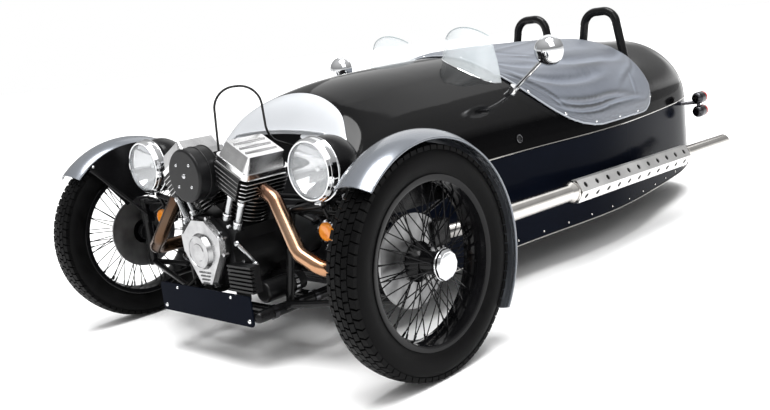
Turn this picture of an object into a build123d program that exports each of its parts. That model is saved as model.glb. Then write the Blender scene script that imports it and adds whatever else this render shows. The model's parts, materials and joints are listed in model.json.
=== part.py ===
"""Open three wheeled sports car with a V twin engine ahead of the front axle.

Two steered wire wheels carry the front and one driven wheel sits inside the
rounded tail.  X points forward, Y to the left and Z up, in millimetres.  The
origin is on the ground below the middle of the overall length.
"""
import os
from math import atan2, cos, hypot, radians, sin

from build123d import *

os.makedirs("parts", exist_ok=True)

# Overall size
OVERALL_LENGTH = 3225.0
OVERALL_WIDTH = 1720.0
CAP_REACH = 90.0
TAIL_REACH = 482.0
CLEARANCE = 0.4

# Front wheels
TYRE_RADIUS = 343.0
TYRE_HALF_WIDTH = 56.0
RIM_RADIUS = 254.0
RIM_SEAT_RADIUS = 240.0
RIM_WELL_RADIUS = 226.0
RIM_HALF_WIDTH = 47.0
RIM_WALL = 4.0
SPOKES_PER_ROW = 24
SPOKE_RADIUS = 2.4
HUB_INSIDE = 24.0
HUB_OUTSIDE = 76.0
HUB_RADIUS = 34.0
STUB_RADIUS = 18.0
DISC_RADIUS = 140.0
DISC_THICKNESS = 8.0
DISC_INSIDE = 48.0
KINGPIN_INSIDE = 80.0

# Rear wheel
REAR_RADIUS = 312.0
REAR_HALF_WIDTH = 97.5
REAR_RIM_RADIUS = 212.0
REAR_AXLE_RADIUS = 14.0

# Body shell
FLOOR_Z = 140.0
BEAD_Z = 500.0
FORM_FOOT = 80.0
WALL = 10.0
SEAM = 0.8
SHOULDER = 0.92
STERN_RADIUS = 355.0
STERN_CROWN = 829.0
STERN_TURN = 17.0
BULKHEAD_FRONT = 230.0
COCKPIT_FRONT = 1040.0
COCKPIT_CROWN = 884.0
SKIN_GAP = 0.6
SHEET = 8.0
CLOTH = 4.0
CLOTH_LAP = 22.0

# Engine
CRANK_Z = 345.0
CRANK_AHEAD = 75.0
VEE_HALF_ANGLE = 28.0
CASE_RADIUS = 122.0
CASE_REAR = -50.0
CASE_FRONT = 185.0
CHEST_FRONT = 205.0
DECK_HEIGHT = 150.0
HEAD_HEIGHT = 255.0
HEAD_TOP = 330.0
ROCKER_TOP = 402.0
HEAD_HALF_WIDTH = 86.0
AIR_CLEANER_Z = 627.0
AIR_CLEANER_RADIUS = 88.0
AIR_CLEANER_REAR = 160.0
AIR_CLEANER_FRONT = 248.0
AIR_CLEANER_GAP = 6.0

# Exhaust
HEADER_RADIUS = 25.0
PIPE_RADIUS = 35.0
MUFFLER_RADIUS = 42.0
TAILPIPE_RADIUS = 34.0
TAILPIPE_BORE = 31.0
TAILPIPE_DEPTH = 300.0
PIPE_Y = 575.0

# Frame and suspension
RAIL_RADIUS = 19.0
RAIL_Z = 178.0
POST_RADIUS = 14.0
TOP_RAIL_Y = 300.0
TOP_RAIL_Z = 488.0
BALL_LOW_Z = 220.0
BALL_HIGH_Z = 462.0
BALL_HALF_HEIGHT = 13.0
RACK_AHEAD = -160.0
RACK_Z = 208.0
RACK_RADIUS = 9.0
ARM_Z = 262.0

HALF_TRACK = OVERALL_WIDTH / 2 - CAP_REACH
HUB_INNER_Y = HALF_TRACK - HUB_INSIDE
HUB_OUTER_Y = HALF_TRACK + HUB_OUTSIDE
DISC_Y = HALF_TRACK - DISC_INSIDE
KINGPIN_Y = HALF_TRACK - KINGPIN_INSIDE
WHEELBASE = OVERALL_LENGTH - TYRE_RADIUS - TAIL_REACH
STERN_AXIS = WHEELBASE + TAIL_REACH - STERN_RADIUS
COCKPIT_REAR = WHEELBASE - 338
COCKPIT_LENGTH = COCKPIT_REAR - COCKPIT_FRONT
BULKHEAD_REAR = COCKPIT_REAR - 62
AXLE_X = OVERALL_LENGTH / 2 - TYRE_RADIUS
REAR_AXLE_X = AXLE_X - WHEELBASE
AXLE_Z = TYRE_RADIUS
WHEEL_CENTRE = Vector(AXLE_X, HALF_TRACK, AXLE_Z)
REAR_CENTRE = Vector(REAR_AXLE_X, 0, REAR_RADIUS)

# Body stations: distance behind the front axle, half width, crown height
STATIONS = (
    (45, 424, 640),
    (150, 429, 692),
    (185, 431, 742),
    (225, 433, 802),
    (300, 437, 837),
    (690, 449, 877),
    (COCKPIT_FRONT - 20, 468, COCKPIT_CROWN),
    (COCKPIT_FRONT + 0.254 * COCKPIT_LENGTH, 496, COCKPIT_CROWN),
    (COCKPIT_FRONT + 0.509 * COCKPIT_LENGTH, 510, COCKPIT_CROWN - 3),
    (COCKPIT_FRONT + 0.773 * COCKPIT_LENGTH, 491, 872),
    (COCKPIT_REAR - 2, 461, 858),
    (WHEELBASE - 150, 431, 846),
    (WHEELBASE + 45, 395, 834),
)
TOP_Z = max([crown for behind, half_width, crown in STATIONS] + [STERN_CROWN]) + 46


def at(ahead, across, up):
    """Point given by its distance ahead of the front axle."""
    return Vector(AXLE_X + ahead, across, up)


def side(behind, up):
    """Side view point given by its distance behind the front axle."""
    return (AXLE_X - behind, up)


def rod(start, end, radius, sides=0):
    """Straight bar between two points, round or with flat sides."""
    with BuildPart() as bar:
        with BuildSketch(Plane(origin=start, z_dir=end - start)):
            if sides:
                RegularPolygon(radius=radius, side_count=sides)
            else:
                Circle(radius)
        extrude(amount=(end - start).length)
    return bar.part


def block(low, high):
    """Square block between two opposite corners."""
    size = high - low
    with BuildPart() as piece:
        with Locations((low + high) * 0.5):
            Box(size.X, size.Y, size.Z)
    return piece.part


def section_arcs(half_width, crown, inset):
    """Half width, top, meeting point and arc midpoints of a body section."""
    wide = half_width - inset
    high = crown - inset - BEAD_Z
    small = SHOULDER * min(high, wide)
    large = (wide**2 + high**2 - 2 * wide * small) / (2 * (high - small))
    reach = wide - small
    span = hypot(reach, large - high)
    large_z = BEAD_Z + high - large
    join = (reach * large / span, large_z + (large - high) * large / span)
    low_turn = atan2(join[1] - BEAD_Z, join[0] - reach) / 2
    high_turn = atan2(join[0], join[1] - large_z) / 2
    low_mid = (reach + small * cos(low_turn), BEAD_Z + small * sin(low_turn))
    high_mid = (large * sin(high_turn), large_z + large * cos(high_turn))
    return wide, BEAD_Z + high, join, low_mid, high_mid


def half_solid(plane, half_width, crown, inset):
    """Half of a body section, filled to the centre line."""
    wide, top, join, low_mid, high_mid = section_arcs(half_width, crown, inset)
    with BuildSketch(plane) as half:
        with BuildLine():
            Polyline((0, top), (0, FORM_FOOT), (wide, FORM_FOOT), (wide, BEAD_Z))
            ThreePointArc((wide, BEAD_Z), low_mid, join)
            ThreePointArc(join, high_mid, (0, top))
        make_face()
    return half.sketch


def half_wall(plane, half_width, crown, outer, inner):
    """Half of a body section, as a wall between two insets."""
    wide, top, join, low_mid, high_mid = section_arcs(half_width, crown, outer)
    in_wide, in_top, in_join, in_low_mid, in_high_mid = section_arcs(half_width, crown, inner)
    with BuildSketch(plane) as half:
        with BuildLine():
            Polyline((in_wide, BEAD_Z), (in_wide, FLOOR_Z), (wide, FLOOR_Z), (wide, BEAD_Z))
            ThreePointArc((wide, BEAD_Z), low_mid, join)
            ThreePointArc(join, high_mid, (0, top))
            Line((0, top), (0, in_top))
            ThreePointArc((0, in_top), in_high_mid, in_join)
            ThreePointArc(in_join, in_low_mid, (in_wide, BEAD_Z))
        make_face()
    return half.sketch


stern_turn = radians(STERN_TURN)
stern_line = Axis((AXLE_X - STERN_AXIS, 0, 0), (0, 0, 1))
stern_plane = Plane(
    origin=(AXLE_X - STERN_AXIS, 0, 0),
    x_dir=(-sin(stern_turn), cos(stern_turn), 0),
    z_dir=(cos(stern_turn), sin(stern_turn), 0),
)
SECTIONS = [
    (Plane(origin=(AXLE_X - behind, 0, 0), x_dir=(0, 1, 0), z_dir=(1, 0, 0)), half_width, crown)
    for behind, half_width, crown in STATIONS
]
SECTIONS.append((stern_plane, STERN_RADIUS, STERN_CROWN))


def half_form(inset):
    """Solid left half of the body ahead of the stern."""
    with BuildPart() as form:
        loft(sections=[half_solid(*section, inset) for section in SECTIONS])
    return form.part


def half_shell(outer, inner):
    """Left half of the body wall ahead of the stern."""
    with BuildPart() as form:
        loft(sections=[half_wall(*section, outer, inner) for section in SECTIONS])
    return form.part


def side_cut(points):
    """Prism right across the car from a side view outline."""
    with BuildPart() as prism:
        with BuildSketch(Plane.XZ):
            with BuildLine():
                Polyline(*points, close=True)
            make_face()
        extrude(amount=OVERALL_WIDTH, both=True)
    return prism.part


def cockpit_cut(lap):
    """Prism through the cockpit opening, drawn in from the cloth edge by the lap."""
    front = side(COCKPIT_FRONT, BEAD_Z + 290)
    rear = side(COCKPIT_REAR - 16, BEAD_Z + 200)
    low_rear = side(COCKPIT_REAR - 162, BEAD_Z + 22)
    low_front = side(COCKPIT_FRONT + 0.509 * COCKPIT_LENGTH, BEAD_Z + 26)
    with BuildPart() as prism:
        with BuildSketch(Plane.XZ):
            with BuildLine():
                Polyline(front, side(COCKPIT_FRONT - 10, TOP_Z + 60), side(COCKPIT_REAR, TOP_Z + 60), rear)
                ThreePointArc(rear, side(COCKPIT_REAR - 54, BEAD_Z + 70), low_rear)
                Line(low_rear, low_front)
                ThreePointArc(low_front, side(COCKPIT_FRONT + 0.191 * COCKPIT_LENGTH, BEAD_Z + 102), front)
            make_face()
            if lap:
                offset(amount=-lap, kind=Kind.INTERSECTION, mode=Mode.REPLACE)
        extrude(amount=OVERALL_WIDTH, both=True)
    return prism.part


def dome_mid(base, radius, depth):
    """Middle of a round dome's side, from its base radius and depth along X."""
    round_radius = (radius**2 + depth**2) / (2 * abs(depth))
    half_turn = atan2(radius, round_radius - abs(depth)) / 2
    rise = abs(depth) - round_radius + round_radius * cos(half_turn)
    return (base + rise * (1 if depth > 0 else -1), round_radius * sin(half_turn))


def save(part, name):
    """Label a piece and write its file."""
    part.label = name
    export_step(part, f"parts/{name}.step")


def save_pair(part, name):
    """Write a left piece and its mirrored right twin."""
    save(part, f"{name}_left")
    save(mirror(part, about=Plane.XZ), f"{name}_right")


# Body forms
body_wall = half_shell(0.0, WALL)
cloth_wall = half_shell(-CLEARANCE - CLOTH, -CLEARANCE)
lining_form = half_form(WALL + CLEARANCE)
skin_form = half_form(-SKIN_GAP)
with BuildPart() as stern_skin:
    revolve(
        profiles=half_solid(*SECTIONS[-1], -SKIN_GAP),
        axis=stern_line,
        revolution_arc=90 - STERN_TURN,
    )
with BuildPart() as stern_wall:
    revolve(
        profiles=half_wall(*SECTIONS[-1], 0.0, WALL),
        axis=stern_line,
        revolution_arc=180 - 2 * STERN_TURN,
    )

# Body panels
BORDER_LOW = 60.0
BORDER_HIGH = 338.0
MOUTH_LOW = 10.0
MOUTH_HIGH = 165.0
MOUTH_Z = BEAD_Z + 196
SEAM_LOW = 1360.0
SEAM_HIGH = 1000.0
SEAM_KNEE_Z = BEAD_Z + 210
DECK_FRONT = COCKPIT_REAR + 58
STERN_END = WHEELBASE + TAIL_REACH + 80
UPPER_Z = BEAD_Z + SEAM / 2
UPPER_PANELS = (
    # name, side view outline
    (
        "nose_cowl",
        (
            (MOUTH_LOW, UPPER_Z),
            (BORDER_LOW, UPPER_Z),
            (BORDER_HIGH, TOP_Z),
            (MOUTH_HIGH, TOP_Z),
            (MOUTH_HIGH, MOUTH_Z),
        ),
    ),
    (
        "bonnet",
        (
            (BORDER_LOW + SEAM, UPPER_Z),
            (SEAM_LOW, UPPER_Z),
            (SEAM_HIGH, SEAM_KNEE_Z),
            (SEAM_HIGH, TOP_Z),
            (BORDER_HIGH + SEAM, TOP_Z),
        ),
    ),
    (
        "cockpit_surround",
        (
            (SEAM_LOW + SEAM, UPPER_Z),
            (DECK_FRONT, UPPER_Z),
            (DECK_FRONT, TOP_Z),
            (SEAM_HIGH + SEAM, TOP_Z),
            (SEAM_HIGH + SEAM, SEAM_KNEE_Z),
        ),
    ),
    (
        "tail_deck",
        (
            (DECK_FRONT + SEAM, UPPER_Z),
            (STERN_END, UPPER_Z),
            (STERN_END, TOP_Z),
            (DECK_FRONT + SEAM, TOP_Z),
        ),
    ),
)
for name, outline in UPPER_PANELS:
    with BuildPart() as panel:
        add(body_wall)
        add(side_cut([side(*point) for point in outline]), mode=Mode.INTERSECT)
        if name == "cockpit_surround":
            add(cockpit_cut(CLOTH_LAP), mode=Mode.SUBTRACT)
        mirror(about=Plane.XZ)
    save(panel.part, name)

STERN_PANELS = (
    # name, low edge, high edge
    ("tail_dome", UPPER_Z, TOP_Z),
    ("tail_skirt", FLOOR_Z - 1, BEAD_Z - SEAM / 2),
)
for name, low, high in STERN_PANELS:
    with BuildPart() as panel:
        add(stern_wall.part)
        slab = block(at(-STERN_END, -OVERALL_WIDTH, low), at(0, OVERALL_WIDTH, high))
        add(slab, mode=Mode.INTERSECT)
    save(panel.part, name)

with BuildPart() as side_panel:
    add(body_wall)
    add(
        block(
            at(-STERN_END, 0, FLOOR_Z - 1),
            at(-BULKHEAD_FRONT, OVERALL_WIDTH, BEAD_Z - SEAM / 2),
        ),
        mode=Mode.INTERSECT,
    )
save_pair(side_panel.part, "side_panel")

with BuildPart() as tonneau_cover:
    add(cloth_wall)
    add(cockpit_cut(0), mode=Mode.INTERSECT)
    mirror(about=Plane.XZ)
save(tonneau_cover.part, "tonneau_cover")

# Floor and bulkheads
with BuildPart() as floor_pan:
    add(lining_form)
    add(
        block(
            at(-BULKHEAD_REAR - SHEET, -OVERALL_WIDTH, FLOOR_Z - 2),
            at(-BULKHEAD_FRONT, OVERALL_WIDTH, FLOOR_Z - 2 + SHEET),
        ),
        mode=Mode.INTERSECT,
    )
    mirror(about=Plane.XZ)
save(floor_pan.part, "floor_pan")

GEARBOX_HOLE = 95.0
with BuildPart() as front_bulkhead:
    add(lining_form)
    add(
        block(
            at(-BULKHEAD_FRONT - SHEET, -OVERALL_WIDTH, FLOOR_Z - 2 + SHEET),
            at(-BULKHEAD_FRONT, OVERALL_WIDTH, TOP_Z),
        ),
        mode=Mode.INTERSECT,
    )
    mirror(about=Plane.XZ)
    passage = rod(at(-BULKHEAD_FRONT - 50, 0, CRANK_Z), at(0, 0, CRANK_Z), GEARBOX_HOLE)
    add(passage, mode=Mode.SUBTRACT)
save(front_bulkhead.part, "front_bulkhead")

with BuildPart() as rear_bulkhead:
    add(lining_form)
    add(
        block(
            at(-BULKHEAD_REAR - SHEET, -OVERALL_WIDTH, FLOOR_Z - 2 + SHEET),
            at(-BULKHEAD_REAR, OVERALL_WIDTH, TOP_Z),
        ),
        mode=Mode.INTERSECT,
    )
    mirror(about=Plane.XZ)
save(rear_bulkhead.part, "rear_bulkhead")

# Windscreens, one each side
SCREEN_RADIUS = 150.0
SCREEN_Y = 205.0
SCREEN_THICKNESS = 4.0
SCREEN_INNER_Y = 50.0
SCREEN_OUTER_Y = 360.0
SCREEN_FRONT = COCKPIT_FRONT - 100
SCREEN_END = COCKPIT_FRONT - 18
SCREEN_LEAN = 25.0
SCREEN_TOP_Z = COCKPIT_CROWN + 106
SCREEN_FOOT_Z = COCKPIT_CROWN - 244
lean = radians(SCREEN_LEAN)
lean_up = Vector(-sin(lean), 0, cos(lean))
screen_foot = at(-SCREEN_FRONT - SCREEN_RADIUS, SCREEN_Y, COCKPIT_CROWN - 24) - lean_up * 200
with BuildPart() as windscreens:
    with BuildSketch(Plane(origin=screen_foot, x_dir=(cos(lean), 0, sin(lean)), z_dir=lean_up)):
        Circle(SCREEN_RADIUS)
        Circle(SCREEN_RADIUS - SCREEN_THICKNESS, mode=Mode.SUBTRACT)
    extrude(amount=420)
    with BuildSketch(Plane.YZ.offset(AXLE_X - SCREEN_END)):
        with BuildLine():
            inner_top = (SCREEN_INNER_Y, COCKPIT_CROWN - 8)
            outer_top = (SCREEN_OUTER_Y, COCKPIT_CROWN - 18)
            inner_foot = (SCREEN_INNER_Y, SCREEN_FOOT_Z)
            Polyline(inner_top, inner_foot, (SCREEN_OUTER_Y, SCREEN_FOOT_Z), outer_top)
            ThreePointArc(outer_top, (SCREEN_Y - 20, SCREEN_TOP_Z), inner_top)
        make_face()
    extrude(amount=400, mode=Mode.INTERSECT)
    add(skin_form, mode=Mode.SUBTRACT)
    mirror(about=Plane.XZ)
save(windscreens.part, "windscreens")

# Roll hoops behind the seats
HOOP_AHEAD = -COCKPIT_REAR - 18
HOOP_RADIUS = 20.0
HOOP_TOP = COCKPIT_CROWN + 106
HOOP_FOOT = COCKPIT_CROWN - 194
with BuildPart() as roll_hoops:
    with BuildLine() as hoop_path:
        FilletPolyline(
            at(HOOP_AHEAD, 326, HOOP_FOOT),
            at(HOOP_AHEAD, 272, HOOP_TOP),
            at(HOOP_AHEAD, 122, HOOP_TOP),
            at(HOOP_AHEAD, 68, HOOP_FOOT),
            radius=66,
        )
    with BuildSketch(Plane(origin=hoop_path.line @ 0, z_dir=hoop_path.line % 0)):
        Circle(HOOP_RADIUS)
    sweep()
    add(skin_form, mode=Mode.SUBTRACT)
    mirror(about=Plane.XZ)
save(roll_hoops.part, "roll_hoops")

# Door mirrors
MIRROR_RADIUS = 58.0
MIRROR_BOWL = 52.0
MIRROR_RIM = 12.0
MIRROR_GLASS_RADIUS = 53.0
MIRROR_GLASS_THICKNESS = 3.0
mirror_centre = at(-COCKPIT_FRONT - 10, 563, 868)
with BuildPart() as mirrors:
    with BuildSketch(Plane(origin=mirror_centre, x_dir=(1, 0, 0), z_dir=(0, -1, 0))):
        with BuildLine():
            rim_edge = (0, MIRROR_RADIUS)
            Polyline((MIRROR_BOWL, 0), (-MIRROR_RIM, 0), (-MIRROR_RIM, MIRROR_RADIUS), rim_edge)
            ThreePointArc(rim_edge, dome_mid(0, MIRROR_RADIUS, MIRROR_BOWL), (MIRROR_BOWL, 0))
        make_face()
    revolve(axis=Axis(mirror_centre, (1, 0, 0)))
    with BuildSketch(Plane(origin=mirror_centre - Vector(MIRROR_RIM, 0, 0), z_dir=(1, 0, 0))):
        Circle(MIRROR_GLASS_RADIUS + CLEARANCE)
    extrude(amount=MIRROR_GLASS_THICKNESS + 1, mode=Mode.SUBTRACT)
    add(rod(at(8 - COCKPIT_FRONT, 385, 715), at(-COCKPIT_FRONT, 535, 832), 8))
    add(rod(at(9 - COCKPIT_FRONT, 372, 700), at(8 - COCKPIT_FRONT, 408, 742), 18))
    add(skin_form, mode=Mode.SUBTRACT)
    mirror(about=Plane.XZ)
save(mirrors.part, "mirrors")

with BuildPart() as mirror_glasses:
    with BuildSketch(Plane(origin=mirror_centre - Vector(MIRROR_RIM - 1, 0, 0), z_dir=(1, 0, 0))):
        Circle(MIRROR_GLASS_RADIUS)
    extrude(amount=MIRROR_GLASS_THICKNESS)
    mirror(about=Plane.XZ)
save(mirror_glasses.part, "mirror_glasses")

# Headlamps
LAMP_RADIUS = 92.0
LENS_RADIUS = 86.0
LAMP_Z = 626.0
LAMP_AHEAD = 105.0
LAMP_POST_AHEAD = 74.0
LAMP_POST_RADIUS = 8.0
LAMP_INNER_Y = 262.0
LAMP_SHARE = 0.43
LAMP_Y = LAMP_INNER_Y + LAMP_SHARE * (HALF_TRACK - TYRE_HALF_WIDTH - LAMP_INNER_Y)
lamp_front = at(LAMP_AHEAD, LAMP_Y, LAMP_Z)
lamp_plane = Plane(origin=lamp_front, x_dir=(1, 0, 0), z_dir=(0, -1, 0))
BOWL_BASE = -40.0
BOWL_DEPTH = -125.0
RECESS_DEPTH = -80.0
LENS_EDGE = 6.0
LENS_RISE = 14.0
RIM_BACK = -22.0
RIM_FRONT = 14.0
RIM_OUTER = 98.0
with BuildPart() as headlamp_shells:
    with BuildSketch(lamp_plane):
        with BuildLine():
            Polyline(
                (BOWL_BASE + RECESS_DEPTH, 0),
                (BOWL_BASE + BOWL_DEPTH, 0),
            )
            ThreePointArc(
                (BOWL_BASE + BOWL_DEPTH, 0),
                dome_mid(BOWL_BASE, LAMP_RADIUS, BOWL_DEPTH),
                (BOWL_BASE, LAMP_RADIUS),
            )
            Polyline(
                (BOWL_BASE, LAMP_RADIUS), (0, LAMP_RADIUS), (0, LENS_RADIUS), (BOWL_BASE, LENS_RADIUS)
            )
            ThreePointArc(
                (BOWL_BASE, LENS_RADIUS),
                dome_mid(BOWL_BASE, LENS_RADIUS, RECESS_DEPTH),
                (BOWL_BASE + RECESS_DEPTH, 0),
            )
        make_face()
    revolve(axis=Axis(lamp_front, (1, 0, 0)))
    mirror(about=Plane.XZ)
save(headlamp_shells.part, "headlamp_shells")

with BuildPart() as headlamp_rims:
    with BuildSketch(lamp_plane):
        with BuildLine():
            Polyline(
                (RIM_BACK, LAMP_RADIUS + CLEARANCE),
                (CLEARANCE, LAMP_RADIUS + CLEARANCE),
                (CLEARANCE, LENS_RADIUS + CLEARANCE),
                (RIM_FRONT, LENS_RADIUS + CLEARANCE),
                (RIM_FRONT, LENS_RADIUS + 5),
                (0, RIM_OUTER),
                (RIM_BACK, RIM_OUTER),
                close=True,
            )
        make_face()
    revolve(axis=Axis(lamp_front, (1, 0, 0)))
    mirror(about=Plane.XZ)
save(headlamp_rims.part, "headlamp_rims")

with BuildPart() as headlamp_lenses:
    with BuildSketch(lamp_plane):
        with BuildLine():
            Polyline(
                (LENS_EDGE + LENS_RISE, 0),
                (CLEARANCE, 0),
                (CLEARANCE, LENS_RADIUS),
                (LENS_EDGE, LENS_RADIUS),
            )
            ThreePointArc(
                (LENS_EDGE, LENS_RADIUS),
                dome_mid(LENS_EDGE, LENS_RADIUS, LENS_RISE),
                (LENS_EDGE + LENS_RISE, 0),
            )
        make_face()
    revolve(axis=Axis(lamp_front, (1, 0, 0)))
    mirror(about=Plane.XZ)
save(headlamp_lenses.part, "headlamp_lenses")

# Direction indicators and rear lamps
BULLET_RADIUS = 30.0
BULLET_LENGTH = 55.0
LENS_DEPTH = 16.0
LAMP_BAR_Z = 514.0
indicator_front = at(68, LAMP_Y - 5, 430)
REAR_LAMP_X = -WHEELBASE - 130
REAR_LAMP_Y = 452.0
REAR_LAMP_HEIGHTS = (500, 432)


def bullet(front, back, round_end, radius):
    """Round lamp body between two points along X with one rounded end."""
    with BuildPart() as body:
        add(rod(back, front, BULLET_RADIUS))
        fillet(edges().group_by(Axis.X)[round_end], radius)
    return body.part


with BuildPart() as indicator_bodies:
    add(bullet(indicator_front, indicator_front - Vector(BULLET_LENGTH, 0, 0), 0, 18))
    add(rod(at(45, LAMP_Y - 5, 440), at(LAMP_POST_AHEAD - 2, LAMP_Y - 5, LAMP_BAR_Z - 9), 7))
    mirror(about=Plane.XZ)
save(indicator_bodies.part, "indicator_bodies")

with BuildPart() as indicator_lenses:
    add(bullet(indicator_front + Vector(LENS_DEPTH, 0, 0), indicator_front, -1, 12))
    mirror(about=Plane.XZ)
save(indicator_lenses.part, "indicator_lenses")

with BuildPart() as rear_lamp_bodies:
    for height in REAR_LAMP_HEIGHTS:
        lamp_back = at(REAR_LAMP_X, REAR_LAMP_Y, height)
        add(bullet(lamp_back, lamp_back - Vector(BULLET_LENGTH, 0, 0), -1, 22))
    post_x = REAR_LAMP_X - 26
    add(rod(*[at(post_x, REAR_LAMP_Y, height) for height in REAR_LAMP_HEIGHTS], 9))
    add(rod(at(post_x + 56, 330, BEAD_Z - 22), at(post_x, REAR_LAMP_Y, BEAD_Z - 22), 9))
    add(skin_form, mode=Mode.SUBTRACT)
    add(stern_skin.part, mode=Mode.SUBTRACT)
    mirror(about=Plane.XZ)
save(rear_lamp_bodies.part, "rear_lamp_bodies")

with BuildPart() as rear_lamp_lenses:
    for height in REAR_LAMP_HEIGHTS:
        lens_front = at(REAR_LAMP_X - BULLET_LENGTH, REAR_LAMP_Y, height)
        add(rod(lens_front - Vector(LENS_DEPTH, 0, 0), lens_front, BULLET_RADIUS))
    mirror(about=Plane.XZ)
save(rear_lamp_lenses.part, "rear_lamp_lenses")

# Front frame tubes: start, end, radius
FRAME_AHEAD = 222.0
RAIL_Y = 254.0
top_front = at(75, TOP_RAIL_Y, TOP_RAIL_Z)
top_rear = at(-BULKHEAD_FRONT + CLEARANCE, TOP_RAIL_Y, TOP_RAIL_Z)
rail_front = at(FRAME_AHEAD, RAIL_Y, RAIL_Z)
rail_rear = at(-BULKHEAD_FRONT + CLEARANCE, RAIL_Y, RAIL_Z)
lamp_foot = at(LAMP_POST_AHEAD, LAMP_Y, LAMP_BAR_Z)
lamp_seat = at(LAMP_POST_AHEAD, LAMP_Y, LAMP_Z - LAMP_RADIUS - CLEARANCE)
FRAME_TUBES = (
    (rail_front, rail_rear, RAIL_RADIUS),
    (at(FRAME_AHEAD, 0, RAIL_Z), rail_front, RAIL_RADIUS),
    (at(150, 0, RAIL_Z), at(150, RAIL_Y, RAIL_Z), POST_RADIUS),
    (at(-20, 0, RAIL_Z), at(-20, RAIL_Y, RAIL_Z), POST_RADIUS),
    (at(-205, 0, RAIL_Z), at(-205, RAIL_Y, RAIL_Z), POST_RADIUS),
    (at(95, RAIL_Y, RAIL_Z), top_front, POST_RADIUS),
    (at(-110, RAIL_Y, RAIL_Z), at(-110, TOP_RAIL_Y, TOP_RAIL_Z), POST_RADIUS),
    (top_front, top_rear, POST_RADIUS),
    (at(-110, 0, TOP_RAIL_Z), at(-110, TOP_RAIL_Y, TOP_RAIL_Z), POST_RADIUS),
    (top_front, lamp_foot, 10),
    (lamp_foot, lamp_seat, LAMP_POST_RADIUS),
)
with BuildPart() as chassis_frame:
    for start, end, radius in FRAME_TUBES:
        add(rod(start, end, radius))
    for corner, radius in ((rail_front, RAIL_RADIUS), (top_front, POST_RADIUS)):
        with Locations(corner):
            Sphere(radius)
    add(indicator_bodies.part, mode=Mode.SUBTRACT)
    mirror(about=Plane.XZ)
save(chassis_frame.part, "chassis_frame")

SKID_THICKNESS = 5.0
with BuildPart() as skid_plate:
    with BuildSketch(Plane.YZ.offset(AXLE_X + FRAME_AHEAD + RAIL_RADIUS + CLEARANCE)):
        with Locations((0, 200)):
            RectangleRounded(504, 100, 14)
    extrude(amount=SKID_THICKNESS)
save(skid_plate.part, "skid_plate")

# Engine
vee = radians(VEE_HALF_ANGLE)
cylinder_plane = Plane(
    origin=at(CRANK_AHEAD, 0, CRANK_Z), x_dir=(1, 0, 0), z_dir=(0, sin(vee), cos(vee))
)
HALF_CHEST = ((38, 484), (114, 420), (110, 366), (34, 252))
CHEST_OUTLINE = [*HALF_CHEST, *[(-across, up) for across, up in reversed(HALF_CHEST)]]
FILTER_Y = 205.0
FILTER_Z = 234.0
FILTER_RADIUS = 36.0
FILTER_REAR = 20.0
FILTER_FRONT = 162.0
REGULATOR_LOW = Vector(198, 142, 256)
REGULATOR_HIGH = Vector(236, 260, 342)
with BuildPart() as crankcase:
    add(rod(at(CASE_REAR, 0, CRANK_Z), at(CASE_FRONT, 0, CRANK_Z), CASE_RADIUS))
    with BuildSketch(cylinder_plane):
        Rectangle(148, 150)
    extrude(amount=DECK_HEIGHT - CLEARANCE)
    with BuildSketch(cylinder_plane.offset(60)):
        with Locations((93, 42)):
            Rectangle(38, 96)
    extrude(amount=DECK_HEIGHT - CLEARANCE - 60)
    mirror(about=Plane.XZ)
    add(block(at(-40, -72, 222), at(160, 72, 300)))
    for foot_ahead in (-20, 150):
        for across in (-90, 90):
            add(
                block(
                    at(foot_ahead - 16, across - 18, RAIL_Z + POST_RADIUS + CLEARANCE),
                    at(foot_ahead + 16, across + 18, 300),
                )
            )
    filter_seat = FILTER_REAR - CLEARANCE
    add(block(at(filter_seat - 26, 80, FILTER_Z - 8), at(filter_seat, FILTER_Y, FILTER_Z + 26)))
    add(rod(at(filter_seat - 26, FILTER_Y, FILTER_Z), at(filter_seat, FILTER_Y, FILTER_Z), 30))
    add(block(at(150, 90, 300), at(REGULATOR_LOW.X - CLEARANCE, REGULATOR_LOW.Y + 50, 318)))
    with BuildSketch(Plane.YZ.offset(AXLE_X + CASE_FRONT)):
        with BuildLine():
            Polyline(*CHEST_OUTLINE, close=True)
        make_face()
    extrude(amount=CHEST_FRONT - CASE_FRONT)
save(crankcase.part, "crankcase")

COVER_DEPTH = 20.0
DOME_RADIUS = 62.0
DOME_DEPTH = 14.0
with BuildPart() as cam_cover:
    with BuildSketch(Plane.YZ.offset(AXLE_X + CHEST_FRONT + CLEARANCE)):
        with BuildLine():
            Polyline(*CHEST_OUTLINE, close=True)
        make_face()
        offset(amount=-5, kind=Kind.INTERSECTION, mode=Mode.REPLACE)
    extrude(amount=COVER_DEPTH, taper=12)
    with BuildSketch(Plane.YZ.offset(AXLE_X + CHEST_FRONT + COVER_DEPTH)):
        with Locations((0, 372)):
            Circle(DOME_RADIUS)
    extrude(amount=DOME_DEPTH, taper=25)
save(cam_cover.part, "cam_cover")

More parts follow.
